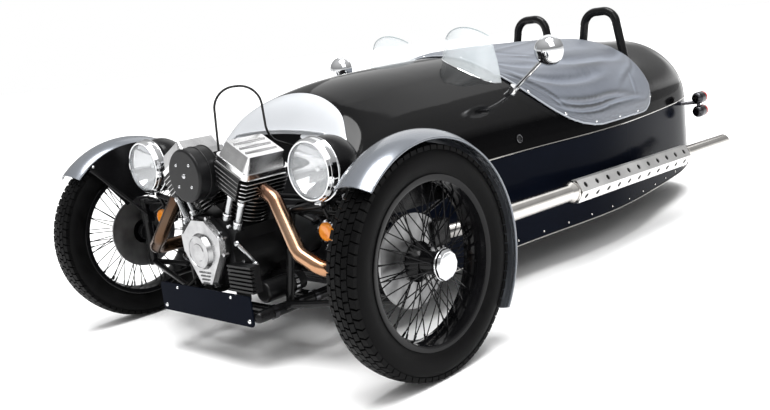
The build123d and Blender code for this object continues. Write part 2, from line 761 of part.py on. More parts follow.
PUSHROD_AHEAD = 93.0
PUSHROD_PLACES = ((PUSHROD_AHEAD, 15), (PUSHROD_AHEAD, 70))
HEAD_LENGTH = 192.0
HEAD_MIDDLE = 16.0
BARREL_FINS = 7
HEAD_FINS = 5
FIN_PITCH = 14.0
with BuildPart() as cylinders:
    with BuildSketch(cylinder_plane.offset(DECK_HEIGHT)):
        Circle(56)
    extrude(amount=HEAD_HEIGHT - DECK_HEIGHT)
    for index in range(BARREL_FINS):
        with BuildSketch(cylinder_plane.offset(DECK_HEIGHT + 8 + index * FIN_PITCH)):
            Circle(76)
        extrude(amount=5)
    with BuildSketch(cylinder_plane.offset(HEAD_HEIGHT)):
        with Locations((PUSHROD_AHEAD / 2 - 20, 0)):
            Rectangle(88 + PUSHROD_AHEAD, 130)
    extrude(amount=HEAD_TOP - HEAD_HEIGHT)
    for index in range(HEAD_FINS):
        with BuildSketch(cylinder_plane.offset(HEAD_HEIGHT + 4 + index * FIN_PITCH)):
            with Locations((HEAD_MIDDLE, 0)):
                Rectangle(HEAD_LENGTH, 2 * HEAD_HALF_WIDTH)
            chamfer(vertices(), 14)
        extrude(amount=5.5)
    drum_rear = at(AIR_CLEANER_REAR - AIR_CLEANER_GAP, 0, AIR_CLEANER_Z)
    drum_front = at(AIR_CLEANER_FRONT, 0, AIR_CLEANER_Z)
    add(rod(drum_rear, drum_front, AIR_CLEANER_RADIUS + AIR_CLEANER_GAP), mode=Mode.SUBTRACT)
    mirror(about=Plane.XZ)
save(cylinders.part, "cylinders")

ROCKER_STEP = 22.0
with BuildPart() as rocker_covers:
    with BuildSketch(cylinder_plane.offset(HEAD_TOP)):
        with Locations((HEAD_MIDDLE, 0)):
            RectangleRounded(HEAD_LENGTH - 6, 2 * HEAD_HALF_WIDTH - 10, 20)
    extrude(amount=ROCKER_STEP)
    with BuildSketch(cylinder_plane.offset(HEAD_TOP + ROCKER_STEP)):
        with Locations((HEAD_MIDDLE, 0)):
            RectangleRounded(HEAD_LENGTH - 18, 2 * HEAD_HALF_WIDTH - 24, 20)
    extrude(amount=ROCKER_TOP - HEAD_TOP - ROCKER_STEP, taper=16)
    mirror(about=Plane.XZ)
save(rocker_covers.part, "rocker_covers")

PUSHROD_RADIUS = 10.0
with BuildPart() as pushrod_tubes:
    with BuildSketch(cylinder_plane.offset(DECK_HEIGHT)):
        with Locations(*PUSHROD_PLACES):
            Circle(PUSHROD_RADIUS)
    extrude(amount=HEAD_HEIGHT - CLEARANCE - DECK_HEIGHT)
    with BuildSketch(cylinder_plane.offset(DECK_HEIGHT)):
        with Locations(*PUSHROD_PLACES):
            Circle(PUSHROD_RADIUS + 5)
    extrude(amount=18)
    mirror(about=Plane.XZ)
save(pushrod_tubes.part, "pushrod_tubes")

with BuildPart() as air_cleaner:
    drum_rear = at(AIR_CLEANER_REAR, 0, AIR_CLEANER_Z)
    add(rod(drum_rear, at(AIR_CLEANER_FRONT, 0, AIR_CLEANER_Z), AIR_CLEANER_RADIUS))
    fillet(edges().filter_by(GeomType.CIRCLE), 9)
save(air_cleaner.part, "air_cleaner")

runner_plane = Plane(
    origin=cylinder_plane.from_local_coords(Vector(10, -HEAD_HALF_WIDTH - CLEARANCE, 267)),
    z_dir=(0, -cos(vee), sin(vee)),
)
with BuildPart() as intake:
    with BuildSketch(runner_plane):
        Circle(20)
    extrude(amount=58)
    mirror(about=Plane.XZ)
    add(rod(at(55, 0, AIR_CLEANER_Z), at(AIR_CLEANER_REAR - CLEARANCE, 0, AIR_CLEANER_Z), 33))
save(intake.part, "intake")

filter_rear = at(FILTER_REAR, FILTER_Y, FILTER_Z)
with BuildPart() as oil_filter:
    add(rod(filter_rear, at(FILTER_FRONT, FILTER_Y, FILTER_Z), FILTER_RADIUS))
    fillet(edges().group_by(Axis.X)[-1], 12)
    add(rod(filter_rear, at(FILTER_REAR + 26, FILTER_Y, FILTER_Z), FILTER_RADIUS + 3, sides=12))
save(oil_filter.part, "oil_filter")

REGULATOR_FINS = 7
FIN_DEPTH = 14.0
fin_rise = (REGULATOR_HIGH.Z - REGULATOR_LOW.Z) / (2 * REGULATOR_FINS - 1)
with BuildPart() as regulator:
    add(block(at(*REGULATOR_LOW), at(REGULATOR_HIGH.X - FIN_DEPTH, REGULATOR_HIGH.Y, REGULATOR_HIGH.Z)))
    for index in range(REGULATOR_FINS):
        fin_low = REGULATOR_LOW.Z + 2 * index * fin_rise
        add(
            block(
                at(REGULATOR_LOW.X, REGULATOR_LOW.Y, fin_low),
                at(REGULATOR_HIGH.X, REGULATOR_HIGH.Y, fin_low + fin_rise),
            )
        )
save(regulator.part, "regulator")

# Gearbox: distance ahead of the axle, radius
GEARBOX_STEPS = ((CASE_REAR - CLEARANCE, 112), (-120, 106), (-215, 88), (-620, 72))
with BuildPart() as gearbox:
    with BuildSketch(Plane(origin=at(0, 0, CRANK_Z), x_dir=(1, 0, 0), z_dir=(0, -1, 0))):
        with BuildLine():
            gearbox_ends = [(GEARBOX_STEPS[index][0], 0) for index in (-1, 0)]
            Polyline(*gearbox_ends, *GEARBOX_STEPS, close=True)
        make_face()
    revolve(axis=Axis(at(0, 0, CRANK_Z), (1, 0, 0)))
save(gearbox.part, "gearbox")

with BuildPart() as throttle_cable:
    with BuildLine() as cable_path:
        FilletPolyline(
            at(100, 0, AIR_CLEANER_Z + 33 + CLEARANCE),
            at(92, 8, 888),
            at(-30, 96, 888),
            at(-34, 100, 704),
            at(-165, 104, 650),
            radius=72,
        )
    with BuildSketch(Plane(origin=cable_path.line @ 0, z_dir=cable_path.line % 0)):
        Circle(4)
    sweep()
save(throttle_cable.part, "throttle_cable")

# Exhaust
HEADER_Y = 478.0
pipe_start = at(-600, PIPE_Y, 325)
pipe_end = at(-WHEELBASE - 140, PIPE_Y, 280)
pipe_run = (pipe_end - pipe_start).normalized()
port = cylinder_plane.from_local_coords(Vector(32, HEAD_HALF_WIDTH + CLEARANCE, 292))
with BuildPart() as exhaust_headers:
    with BuildLine() as header_path:
        FilletPolyline(
            port,
            port + Vector(0, cos(vee), -sin(vee)) * 60,
            at(137, 385, 372),
            at(115, HEADER_Y, 316),
            at(-330, HEADER_Y - 4, 313),
            pipe_start - pipe_run * 90,
            pipe_start - pipe_run * CLEARANCE,
            radius=56,
        )
    with BuildSketch(Plane(origin=port, z_dir=header_path.line % 0)):
        Circle(HEADER_RADIUS)
    sweep()
    mirror(about=Plane.XZ)
save(exhaust_headers.part, "exhaust_headers")

# Silencer profile: distance along the pipe, radius
pipe_length = (pipe_end - pipe_start).length
SILENCER_STEPS = (
    (0, PIPE_RADIUS),
    (pipe_length - 1470, PIPE_RADIUS),
    (pipe_length - 1445, MUFFLER_RADIUS),
    (pipe_length - 470, MUFFLER_RADIUS),
    (pipe_length - 440, TAILPIPE_RADIUS),
    (pipe_length, TAILPIPE_RADIUS),
)
pipe_plane = Plane(origin=pipe_start, x_dir=pipe_run, z_dir=(0, -1, 0))
with BuildPart() as silencers:
    with BuildSketch(pipe_plane):
        with BuildLine():
            steps = [(along, -radius) for along, radius in SILENCER_STEPS]
            Polyline((0, 0), *steps, (pipe_length, 0), close=True)
        make_face()
    revolve(axis=Axis(pipe_start, pipe_run))
    bore = rod(pipe_end - pipe_run * TAILPIPE_DEPTH, pipe_end + pipe_run, TAILPIPE_BORE)
    add(bore, mode=Mode.SUBTRACT)
    mirror(about=Plane.XZ)
save(silencers.part, "silencers")

SHIELD_START = pipe_length - 1430
SHIELD_END = pipe_length - 480
SHIELD_SHEET = 2.5
SHIELD_HOLES = 11
HOLE_RADIUS = 12.0
shield_inner = MUFFLER_RADIUS + CLEARANCE
shield_plane = Plane(origin=pipe_start + pipe_run * SHIELD_START, x_dir=(0, 1, 0), z_dir=pipe_run)
with BuildPart() as heat_shields:
    with BuildSketch(shield_plane):
        RegularPolygon(radius=shield_inner + SHIELD_SHEET, side_count=6, major_radius=False)
        RegularPolygon(radius=shield_inner, side_count=6, major_radius=False, mode=Mode.SUBTRACT)
        with Locations((-1.5 * MUFFLER_RADIUS, 0)):
            Rectangle(3 * MUFFLER_RADIUS, 5 * MUFFLER_RADIUS, mode=Mode.SUBTRACT)
    extrude(amount=SHIELD_END - SHIELD_START)
    for turn in (-30, 30):
        for index in range(SHIELD_HOLES):
            along = SHIELD_START + (index + 0.5) * (SHIELD_END - SHIELD_START) / SHIELD_HOLES
            hole_centre = pipe_start + pipe_run * along
            out = Vector(0, cos(radians(turn)), sin(radians(turn)))
            punch = rod(hole_centre + out * 30, hole_centre + out * 60, HOLE_RADIUS, sides=8)
            add(punch, mode=Mode.SUBTRACT)
    mirror(about=Plane.XZ)
save(heat_shields.part, "heat_shields")

# Front suspension: pivot ahead of the axle, pivot across, pivot height, tube radius
LOW_PIVOT_Y = 284.0
HIGH_PIVOT_Y = TOP_RAIL_Y + POST_RADIUS + 12 + CLEARANCE
LOW_ARMS = ((120, LOW_PIVOT_Y, 192), (-130, LOW_PIVOT_Y + 8, 192))
HIGH_ARMS = ((40, HIGH_PIVOT_Y, 482), (-95, HIGH_PIVOT_Y, 482))
DAMPER_Y = 458.0
damper_share = (DAMPER_Y - LOW_PIVOT_Y) / (KINGPIN_Y - LOW_PIVOT_Y)
damper_bar_z = LOW_ARMS[0][2] + damper_share * (BALL_LOW_Z - LOW_ARMS[0][2])
damper_bar = [at(ahead * (1 - damper_share), DAMPER_Y, damper_bar_z) for ahead, across, up in LOW_ARMS]
with BuildPart() as wishbones:
    for pivots, ball_z, tube in ((LOW_ARMS, BALL_LOW_Z, 11), (HIGH_ARMS, BALL_HIGH_Z, 9)):
        for ahead, across, up in pivots:
            add(rod(at(ahead - 20, across, up), at(ahead + 20, across, up), 12))
            add(rod(at(ahead, across, up), at(0, KINGPIN_Y, ball_z), tube))
        add(
            rod(
                at(0, KINGPIN_Y, ball_z - BALL_HALF_HEIGHT),
                at(0, KINGPIN_Y, ball_z + BALL_HALF_HEIGHT),
                17,
            )
        )
    add(rod(*damper_bar, 10))
    mirror(about=Plane.XZ)
save(wishbones.part, "wishbones")

damper_low = at(-17, DAMPER_Y, damper_bar_z + 24)
damper_high = at(-17, 318, 466)
damper_run = (damper_high - damper_low).normalized()
with BuildPart() as dampers:
    add(rod(damper_low, damper_high, 7))
    add(rod(damper_low + damper_run * 20, damper_low + damper_run * 110, 19))
    add(rod(damper_low + damper_run * 30, damper_low + damper_run * 38, 33))
    add(rod(damper_high - damper_run * 30, damper_high - damper_run * 22, 33))
    add(rod(damper_low - Vector(14, 0, 0), damper_low + Vector(14, 0, 0), 13.6))
    add(rod(damper_high - Vector(14, 0, 0), damper_high + Vector(14, 0, 0), 11))
    mirror(about=Plane.XZ)
save(dampers.part, "dampers")

SPRING_TURNS = 6
spring_low = damper_low + damper_run * (38 + 4.2)
spring_high = damper_high - damper_run * (30 + 4.2)
spring_rise = (spring_high - spring_low).length
with BuildPart() as springs:
    with BuildLine() as coil:
        Helix(
            pitch=spring_rise / SPRING_TURNS,
            height=spring_rise,
            radius=28,
            center=spring_low,
            direction=damper_run,
        )
    with BuildSketch(Plane(origin=coil.line @ 0, z_dir=coil.line % 0)):
        RegularPolygon(radius=4.5, side_count=4)
    sweep(is_frenet=True)
    mirror(about=Plane.XZ)
save(springs.part, "springs")

# Steering rack and track rods
HOUSING_RADIUS = 18.0
ROD_RADIUS = 8.0
with BuildPart() as rack_housing:
    add(rod(at(RACK_AHEAD, -190, RACK_Z), at(RACK_AHEAD, 190, RACK_Z), HOUSING_RADIUS))
    for across in (-120, 120):
        add(
            block(
                at(-216, across - 14, RAIL_Z + POST_RADIUS + CLEARANCE),
                at(RACK_AHEAD, across + 14, RACK_Z + 6),
            )
        )
    add(
        rod(at(RACK_AHEAD, -200, RACK_Z), at(RACK_AHEAD, 200, RACK_Z), RACK_RADIUS + CLEARANCE),
        mode=Mode.SUBTRACT,
    )
save(rack_housing.part, "rack_housing")

EYE_RADIUS = 16.0
with BuildPart() as steering_rack:
    add(rod(at(RACK_AHEAD, 0, RACK_Z), at(RACK_AHEAD, 290, RACK_Z), RACK_RADIUS))
    add(rod(at(RACK_AHEAD, 284, RACK_Z), at(RACK_AHEAD, KINGPIN_Y, ARM_Z + 12), ROD_RADIUS))
    add(
        rod(
            at(RACK_AHEAD, KINGPIN_Y, ARM_Z + CLEARANCE),
            at(RACK_AHEAD, KINGPIN_Y, ARM_Z + 26),
            EYE_RADIUS,
        )
    )
    mirror(about=Plane.XZ)
save(steering_rack.part, "steering_rack")

# Steering knuckles with brake calipers
DISC_GAP = 5.0
disc_inner = at(0, DISC_Y - DISC_GAP, AXLE_Z)
disc_outer = at(0, DISC_Y + DISC_THICKNESS + DISC_GAP, AXLE_Z)
with BuildPart() as caliper:
    add(block(at(-160, DISC_Y - 24, 360), at(-88, DISC_Y + DISC_THICKNESS + 13, 436)))
    add(rod(disc_inner, disc_outer, DISC_RADIUS + DISC_GAP), mode=Mode.SUBTRACT)
with BuildPart() as knuckle:
    add(
        rod(
            at(0, KINGPIN_Y, BALL_LOW_Z + BALL_HALF_HEIGHT + CLEARANCE),
            at(0, KINGPIN_Y, BALL_HIGH_Z - BALL_HALF_HEIGHT - CLEARANCE),
            20,
        )
    )
    add(rod(at(0, KINGPIN_Y, AXLE_Z), at(0, HUB_OUTER_Y - 8, AXLE_Z), STUB_RADIUS))
    add(rod(at(0, KINGPIN_Y, AXLE_Z), at(0, DISC_Y - 6, AXLE_Z), 34))
    add(rod(at(0, KINGPIN_Y, ARM_Z - 8), at(RACK_AHEAD, KINGPIN_Y, ARM_Z - 8), 8))
    add(rod(at(RACK_AHEAD, KINGPIN_Y, ARM_Z - 16), at(RACK_AHEAD, KINGPIN_Y, ARM_Z), 18))
    add(caliper.part)
    add(rod(at(0, KINGPIN_Y, 400), at(-118, DISC_Y - 18, 404), 10))
save_pair(knuckle.part, "knuckle")

# Front mudguards turning with the knuckles
GUARD_RADIUS = 383.0
GUARD_EDGE_RADIUS = 358.0
GUARD_HALF_WIDTH = 68.0
GUARD_SHEET = 4.0
GUARD_FRONT = 46.0
GUARD_SWEEP = 171.0
front_turn = radians(GUARD_FRONT)
guard_plane = Plane(
    origin=WHEEL_CENTRE,
    x_dir=(0, 1, 0),
    z_dir=(sin(front_turn), 0, -cos(front_turn)),
)
outer_low = (GUARD_HALF_WIDTH, GUARD_EDGE_RADIUS)
outer_high = (GUARD_HALF_WIDTH, GUARD_EDGE_RADIUS - GUARD_SHEET)
inner_low = (-GUARD_HALF_WIDTH, GUARD_EDGE_RADIUS)
inner_high = (-GUARD_HALF_WIDTH, GUARD_EDGE_RADIUS - GUARD_SHEET)
with BuildPart() as mudguard:
    with BuildSketch(guard_plane):
        with BuildLine():
            ThreePointArc(inner_low, (0, GUARD_RADIUS), outer_low)
            Line(outer_low, outer_high)
            ThreePointArc(outer_high, (0, GUARD_RADIUS - GUARD_SHEET), inner_high)
            Line(inner_high, inner_low)
        make_face()
    revolve(axis=Axis(WHEEL_CENTRE, (0, -1, 0)), revolution_arc=GUARD_SWEEP)
save_pair(mudguard.part, "mudguard")

# Mudguard stays with the plate that closes the inner side of each guard
STAY_RADIUS = 6.0
STAY_ANGLES = (55, 150)
PLATE_SHEET = 4.0
PLATE_LOW_Z = 487.0
PLATE_TIP = (69, 464)
STAY_FOOT_Z = 405.0
plate_y = HALF_TRACK - GUARD_HALF_WIDTH - CLEARANCE
plate_arc = [
    (
        GUARD_EDGE_RADIUS * cos(radians(angle)),
        AXLE_Z + GUARD_EDGE_RADIUS * sin(radians(angle)),
    )
    for angle in (STAY_ANGLES[0], sum(STAY_ANGLES) / 2, STAY_ANGLES[1])
]
stay_foot = at(0, KINGPIN_Y - 28, STAY_FOOT_Z)
with BuildPart() as guard_stay:
    with BuildSketch(Plane(origin=at(0, plate_y, 0), x_dir=(1, 0, 0), z_dir=(0, -1, 0))):
        with BuildLine():
            ThreePointArc(*plate_arc)
            Polyline(plate_arc[2], (-200, PLATE_LOW_Z), (24, PLATE_LOW_Z), PLATE_TIP, plate_arc[0])
        make_face()
    extrude(amount=PLATE_SHEET)
    pad_low = at(-14, KINGPIN_Y - 34, STAY_FOOT_Z - 20)
    add(block(pad_low, at(14, KINGPIN_Y - 20 - CLEARANCE, STAY_FOOT_Z + 20)))
    for angle in STAY_ANGLES:
        reach = GUARD_EDGE_RADIUS - 2 * STAY_RADIUS
        tip_x = reach * cos(radians(angle))
        tip_z = AXLE_Z + reach * sin(radians(angle))
        add(rod(stay_foot, at(tip_x, plate_y - PLATE_SHEET - 2, tip_z), STAY_RADIUS))
save_pair(guard_stay.part, "guard_stay")

# Front tyres
wheel_section = Plane(origin=WHEEL_CENTRE, x_dir=(0, 1, 0), z_dir=(1, 0, 0))
wheel_axis = Axis(WHEEL_CENTRE, (0, 1, 0))
BEAD_HALF_WIDTH = RIM_HALF_WIDTH - RIM_WALL - CLEARANCE
with BuildPart() as tyre_front:
    with BuildSketch(wheel_section):
        with BuildLine():
            bead_radius = RIM_SEAT_RADIUS + CLEARANCE
            half_tyre = (
                (BEAD_HALF_WIDTH, bead_radius),
                (BEAD_HALF_WIDTH, RIM_RADIUS + 2),
                (TYRE_HALF_WIDTH, TYRE_RADIUS - 53),
                (TYRE_HALF_WIDTH - 2, TYRE_RADIUS - 30),
                (TYRE_HALF_WIDTH - 16, TYRE_RADIUS - 4),
                (0, TYRE_RADIUS),
            )
            far_half = [(-across, up) for across, up in reversed(half_tyre[:-1])]
            Polyline(*half_tyre, *far_half, close=True)
        make_face()
    revolve(axis=wheel_axis)
save_pair(tyre_front.part, "tyre_front")

# Wire wheels with centre caps
SPOKE_LEAD = 11.0
SPOKE_ROWS = (
    # hub radius, hub across, rim across, lead
    (HUB_RADIUS + 4, HUB_OUTER_Y - 8, HALF_TRACK + 12, SPOKE_LEAD),
    (HUB_RADIUS + 14, HUB_INNER_Y + 12, HALF_TRACK - 8, -SPOKE_LEAD),
)
CAP_RADIUS = 48.0
with BuildPart() as wire_wheel:
    with BuildSketch(wheel_section):
        with BuildLine():
            Polyline(
                (-RIM_HALF_WIDTH, RIM_RADIUS),
                (-RIM_HALF_WIDTH + RIM_WALL, RIM_RADIUS),
                (-RIM_HALF_WIDTH + RIM_WALL, RIM_SEAT_RADIUS),
                (-22, RIM_SEAT_RADIUS - 3),
                (-16, RIM_WELL_RADIUS + RIM_WALL),
                (16, RIM_WELL_RADIUS + RIM_WALL),
                (22, RIM_SEAT_RADIUS - 3),
                (RIM_HALF_WIDTH - RIM_WALL, RIM_SEAT_RADIUS),
                (RIM_HALF_WIDTH - RIM_WALL, RIM_RADIUS),
                (RIM_HALF_WIDTH, RIM_RADIUS),
                (RIM_HALF_WIDTH, RIM_SEAT_RADIUS - RIM_WALL),
                (18, RIM_WELL_RADIUS),
                (-18, RIM_WELL_RADIUS),
                (-RIM_HALF_WIDTH, RIM_SEAT_RADIUS - RIM_WALL),
                close=True,
            )
        make_face()
    revolve(axis=wheel_axis)
    hub_profile = (
        (HUB_INNER_Y - HALF_TRACK, STUB_RADIUS + CLEARANCE),
        (HUB_INNER_Y - HALF_TRACK, HUB_RADIUS + 26),
        (HUB_INNER_Y - HALF_TRACK + 6, HUB_RADIUS + 26),
        (HUB_INNER_Y - HALF_TRACK + 18, HUB_RADIUS + 12),
        (HUB_INNER_Y - HALF_TRACK + 30, HUB_RADIUS),
        (HUB_OUTER_Y - HALF_TRACK - 16, HUB_RADIUS),
        (HUB_OUTER_Y - HALF_TRACK - 10, HUB_RADIUS + 8),
        (HUB_OUTER_Y - HALF_TRACK, HUB_RADIUS + 8),
        (HUB_OUTER_Y - HALF_TRACK, 0),
        (HUB_OUTER_Y - HALF_TRACK - 6, 0),
        (HUB_OUTER_Y - HALF_TRACK - 6, STUB_RADIUS + CLEARANCE),
    )
    with BuildSketch(wheel_section):
        with BuildLine():
            Polyline(*hub_profile, close=True)
        make_face()
    revolve(axis=wheel_axis)
    spokes = []
    for hub_radius, hub_y, rim_y, lead in SPOKE_ROWS:
        for index in range(SPOKES_PER_ROW):
            hub_angle = radians(index * 360 / SPOKES_PER_ROW)
            rim_angle = hub_angle + radians(lead if index % 2 else -lead)
            rim_radius = RIM_WELL_RADIUS + 2
            hub_end = at(hub_radius * cos(hub_angle), hub_y, AXLE_Z + hub_radius * sin(hub_angle))
            rim_end = at(rim_radius * cos(rim_angle), rim_y, AXLE_Z + rim_radius * sin(rim_angle))
            spokes.append(rod(hub_end, rim_end, SPOKE_RADIUS, sides=4))
    add(spokes)
    with BuildSketch(Plane(origin=at(0, HUB_OUTER_Y, AXLE_Z), x_dir=(1, 0, 0), z_dir=(0, 1, 0))):
        RegularPolygon(radius=CAP_RADIUS, side_count=8, rotation=22.5)
    extrude(amount=OVERALL_WIDTH / 2 - HUB_OUTER_Y, taper=22)
save_pair(wire_wheel.part, "wire_wheel")

# Brake discs
with BuildPart() as brake_disc:
    with BuildSketch(wheel_section):
        with BuildLine():
            Polyline(
                (DISC_Y - HALF_TRACK, 50),
                (DISC_Y - HALF_TRACK, DISC_RADIUS),
                (DISC_Y + DISC_THICKNESS - HALF_TRACK, DISC_RADIUS),
                (DISC_Y + DISC_THICKNESS - HALF_TRACK, 60),
                (HUB_INNER_Y - CLEARANCE - HALF_TRACK, 60),
                (HUB_INNER_Y - CLEARANCE - HALF_TRACK, 50),
                close=True,
            )
        make_face()
    revolve(axis=wheel_axis)
save_pair(brake_disc.part, "brake_disc")

# Rear wheel and swing arm
rear_section = Plane(origin=REAR_CENTRE, x_dir=(0, 1, 0), z_dir=(1, 0, 0))
rear_axis = Axis(REAR_CENTRE, (0, 1, 0))
REAR_BEAD = REAR_RIM_RADIUS - 8
REAR_LIP = REAR_RIM_RADIUS + 6
REAR_SEAT_HALF = REAR_HALF_WIDTH - 13.5
half_rear_tyre = (
    (REAR_SEAT_HALF, REAR_BEAD + CLEARANCE),
    (REAR_SEAT_HALF, REAR_LIP + 3),
    (REAR_HALF_WIDTH, REAR_RADIUS - 50),
    (REAR_HALF_WIDTH - 4, REAR_RADIUS - 22),
    (REAR_HALF_WIDTH - 16, REAR_RADIUS - 6),
    (0, REAR_RADIUS),
)
with BuildPart() as tyre_rear:
    with BuildSketch(rear_section):
        with BuildLine():
            far_half = [(-across, up) for across, up in reversed(half_rear_tyre[:-1])]
            Polyline(*half_rear_tyre, *far_half, close=True)
        make_face()
    revolve(axis=rear_axis)
save(tyre_rear.part, "tyre_rear")

REAR_HUB_HALF = 96.0
REAR_LIP_IN = REAR_SEAT_HALF + CLEARANCE
REAR_LIP_OUT = REAR_LIP_IN + 5.6
with BuildPart() as wheel_rear:
    with BuildSketch(rear_section):
        with BuildLine():
            Polyline(
                (-REAR_LIP_OUT, REAR_LIP),
                (-REAR_LIP_IN, REAR_LIP),
                (-REAR_LIP_IN, REAR_BEAD),
                (REAR_LIP_IN, REAR_BEAD),
                (REAR_LIP_IN, REAR_LIP),
                (REAR_LIP_OUT, REAR_LIP),
                (REAR_LIP_OUT, REAR_BEAD - 8),
                (16, REAR_BEAD - 12),
                (12, 70),
                (REAR_HUB_HALF, 60),
                (REAR_HUB_HALF, REAR_AXLE_RADIUS + CLEARANCE),
                (-REAR_HUB_HALF, REAR_AXLE_RADIUS + CLEARANCE),
                (-REAR_HUB_HALF, 60),
                (0, 70),
                (4, REAR_BEAD - 12),
                (-REAR_LIP_OUT, REAR_BEAD - 8),
                close=True,
            )
        make_face()
    revolve(axis=rear_axis)
save(wheel_rear.part, "wheel_rear")

ARM_Y = 136.0
PIVOT_RADIUS = 22.0
pivot_behind = BULKHEAD_REAR + SHEET + CLEARANCE + PIVOT_RADIUS
with BuildPart() as swing_arm:
    add(rod(at(-pivot_behind, -ARM_Y - 20, 300), at(-pivot_behind, ARM_Y + 20, 300), PIVOT_RADIUS))
    for across in (-ARM_Y, ARM_Y):
        add(rod(at(-pivot_behind, across, 300), at(-WHEELBASE, across, REAR_RADIUS), 20))
        add(rod(at(-WHEELBASE, across - 22, REAR_RADIUS), at(-WHEELBASE, across + 22, REAR_RADIUS), 30))
    add(rod(at(-WHEELBASE, -ARM_Y, REAR_RADIUS), at(-WHEELBASE, ARM_Y, REAR_RADIUS), REAR_AXLE_RADIUS))
save(swing_arm.part, "swing_arm")

with BuildPart() as rear_dampers:
    for across in (-ARM_Y, ARM_Y):
        foot = at(110 - WHEELBASE, across, REAR_RADIUS - 3 + 20 + CLEARANCE + 16)
        head = at(-BULKHEAD_REAR - SHEET - CLEARANCE - 16, across, BEAD_Z + 60)
        add(rod(foot, head, 10))
        add(rod(foot + (head - foot) * 0.12, foot + (head - foot) * 0.62, 26))
        for eye in (foot, head):
            add(rod(eye - Vector(0, 16, 0), eye + Vector(0, 16, 0), 16))
save(rear_dampers.part, "rear_dampers")
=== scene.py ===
import bpy
import json
import math
import numpy as np
from mathutils import Matrix, Vector
from mathutils.bvhtree import BVHTree


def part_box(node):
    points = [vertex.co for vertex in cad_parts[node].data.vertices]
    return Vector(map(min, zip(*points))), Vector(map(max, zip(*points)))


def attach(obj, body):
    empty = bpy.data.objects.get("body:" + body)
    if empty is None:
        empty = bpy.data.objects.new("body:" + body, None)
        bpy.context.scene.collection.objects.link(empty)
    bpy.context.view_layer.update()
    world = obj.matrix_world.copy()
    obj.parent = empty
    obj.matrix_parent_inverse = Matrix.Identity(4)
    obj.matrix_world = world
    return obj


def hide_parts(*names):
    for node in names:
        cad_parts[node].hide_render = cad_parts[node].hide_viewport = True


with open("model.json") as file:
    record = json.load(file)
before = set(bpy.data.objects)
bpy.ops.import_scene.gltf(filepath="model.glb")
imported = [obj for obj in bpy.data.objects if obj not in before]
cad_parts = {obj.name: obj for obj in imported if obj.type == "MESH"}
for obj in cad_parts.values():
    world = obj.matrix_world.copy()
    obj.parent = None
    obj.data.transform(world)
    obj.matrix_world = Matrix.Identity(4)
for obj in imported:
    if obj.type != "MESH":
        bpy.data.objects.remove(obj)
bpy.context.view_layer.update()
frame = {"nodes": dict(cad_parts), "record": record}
nodes = frame["nodes"]
scene = bpy.context.scene
scene.view_settings.view_transform = "Standard"

# Main places in metres: ahead, across, up
AXLE = 1.2695
REAR_AXLE = AXLE - 2.4
WHEEL_Y, WHEEL_Z, REAR_WHEEL_Z = 0.77, 0.343, 0.312
AHEAD, ACROSS, UP = Vector((1, 0, 0)), Vector((0, 1, 0)), Vector((0, 0, 1))
SIDES = ((1, "left"), (-1, "right"))


# Shader nodes
def add(tree, kind, **sockets):
    """New shader node with some of its inputs set."""
    node = tree.nodes.new("ShaderNode" + kind)
    for name, value in sockets.items():
        node.inputs[name.title()].default_value = value
    return node


def feed(tree, socket, value):
    """Input joined to another node's output, or set to a plain value."""
    if isinstance(value, bpy.types.NodeSocket):
        tree.links.new(value, socket)
    else:
        socket.default_value = value


def set_ramp(node, stops):
    """Colour stops in rising order: place, colour."""
    elements = node.color_ramp.elements
    for element, (place, colour) in ((elements[0], stops[0]), (elements[1], stops[-1])):
        element.position = place
        element.color = (*colour, 1)
    for place, colour in stops[1:-1]:
        elements.new(place).color = (*colour, 1)


def remap(tree, value, *limits):
    """Value moved between ranges: from low, from high, to low, to high."""
    node = add(tree, "MapRange")
    for name, limit in zip(("From Min", "From Max", "To Min", "To Max"), limits):
        node.inputs[name].default_value = limit
    tree.links.new(value, node.inputs["Value"])
    return node.outputs["Result"]


def mix(tree, factor, first, second, how="MIX"):
    """Two colours mixed, each argument a socket or a value."""
    node = add(tree, "Mix")
    node.data_type = "RGBA"
    node.blend_type = how
    for socket, value in ((0, factor), (6, first), (7, second)):
        feed(tree, node.inputs[socket], value)
    return node.outputs[2]


def calculate(tree, how, first, second):
    """Result of one operation on two numbers, each a socket or a value."""
    node = add(tree, "Math")
    node.operation = how
    feed(tree, node.inputs[0], first)
    feed(tree, node.inputs[1], second)
    return node.outputs[0]


def parts_of(tree, vector):
    """Ahead, across and up of a vector socket."""
    split = add(tree, "SeparateXYZ")
    tree.links.new(vector, split.inputs["Vector"])
    return split.outputs


def dent(tree, height, strength, distance):
    """Bump that presses a height into the surface."""
    bump = add(tree, "Bump", strength=strength, distance=distance)
    tree.links.new(height, bump.inputs["Height"])
    tree.links.new(bump.outputs["Normal"], tree.nodes["Principled BSDF"].inputs["Normal"])


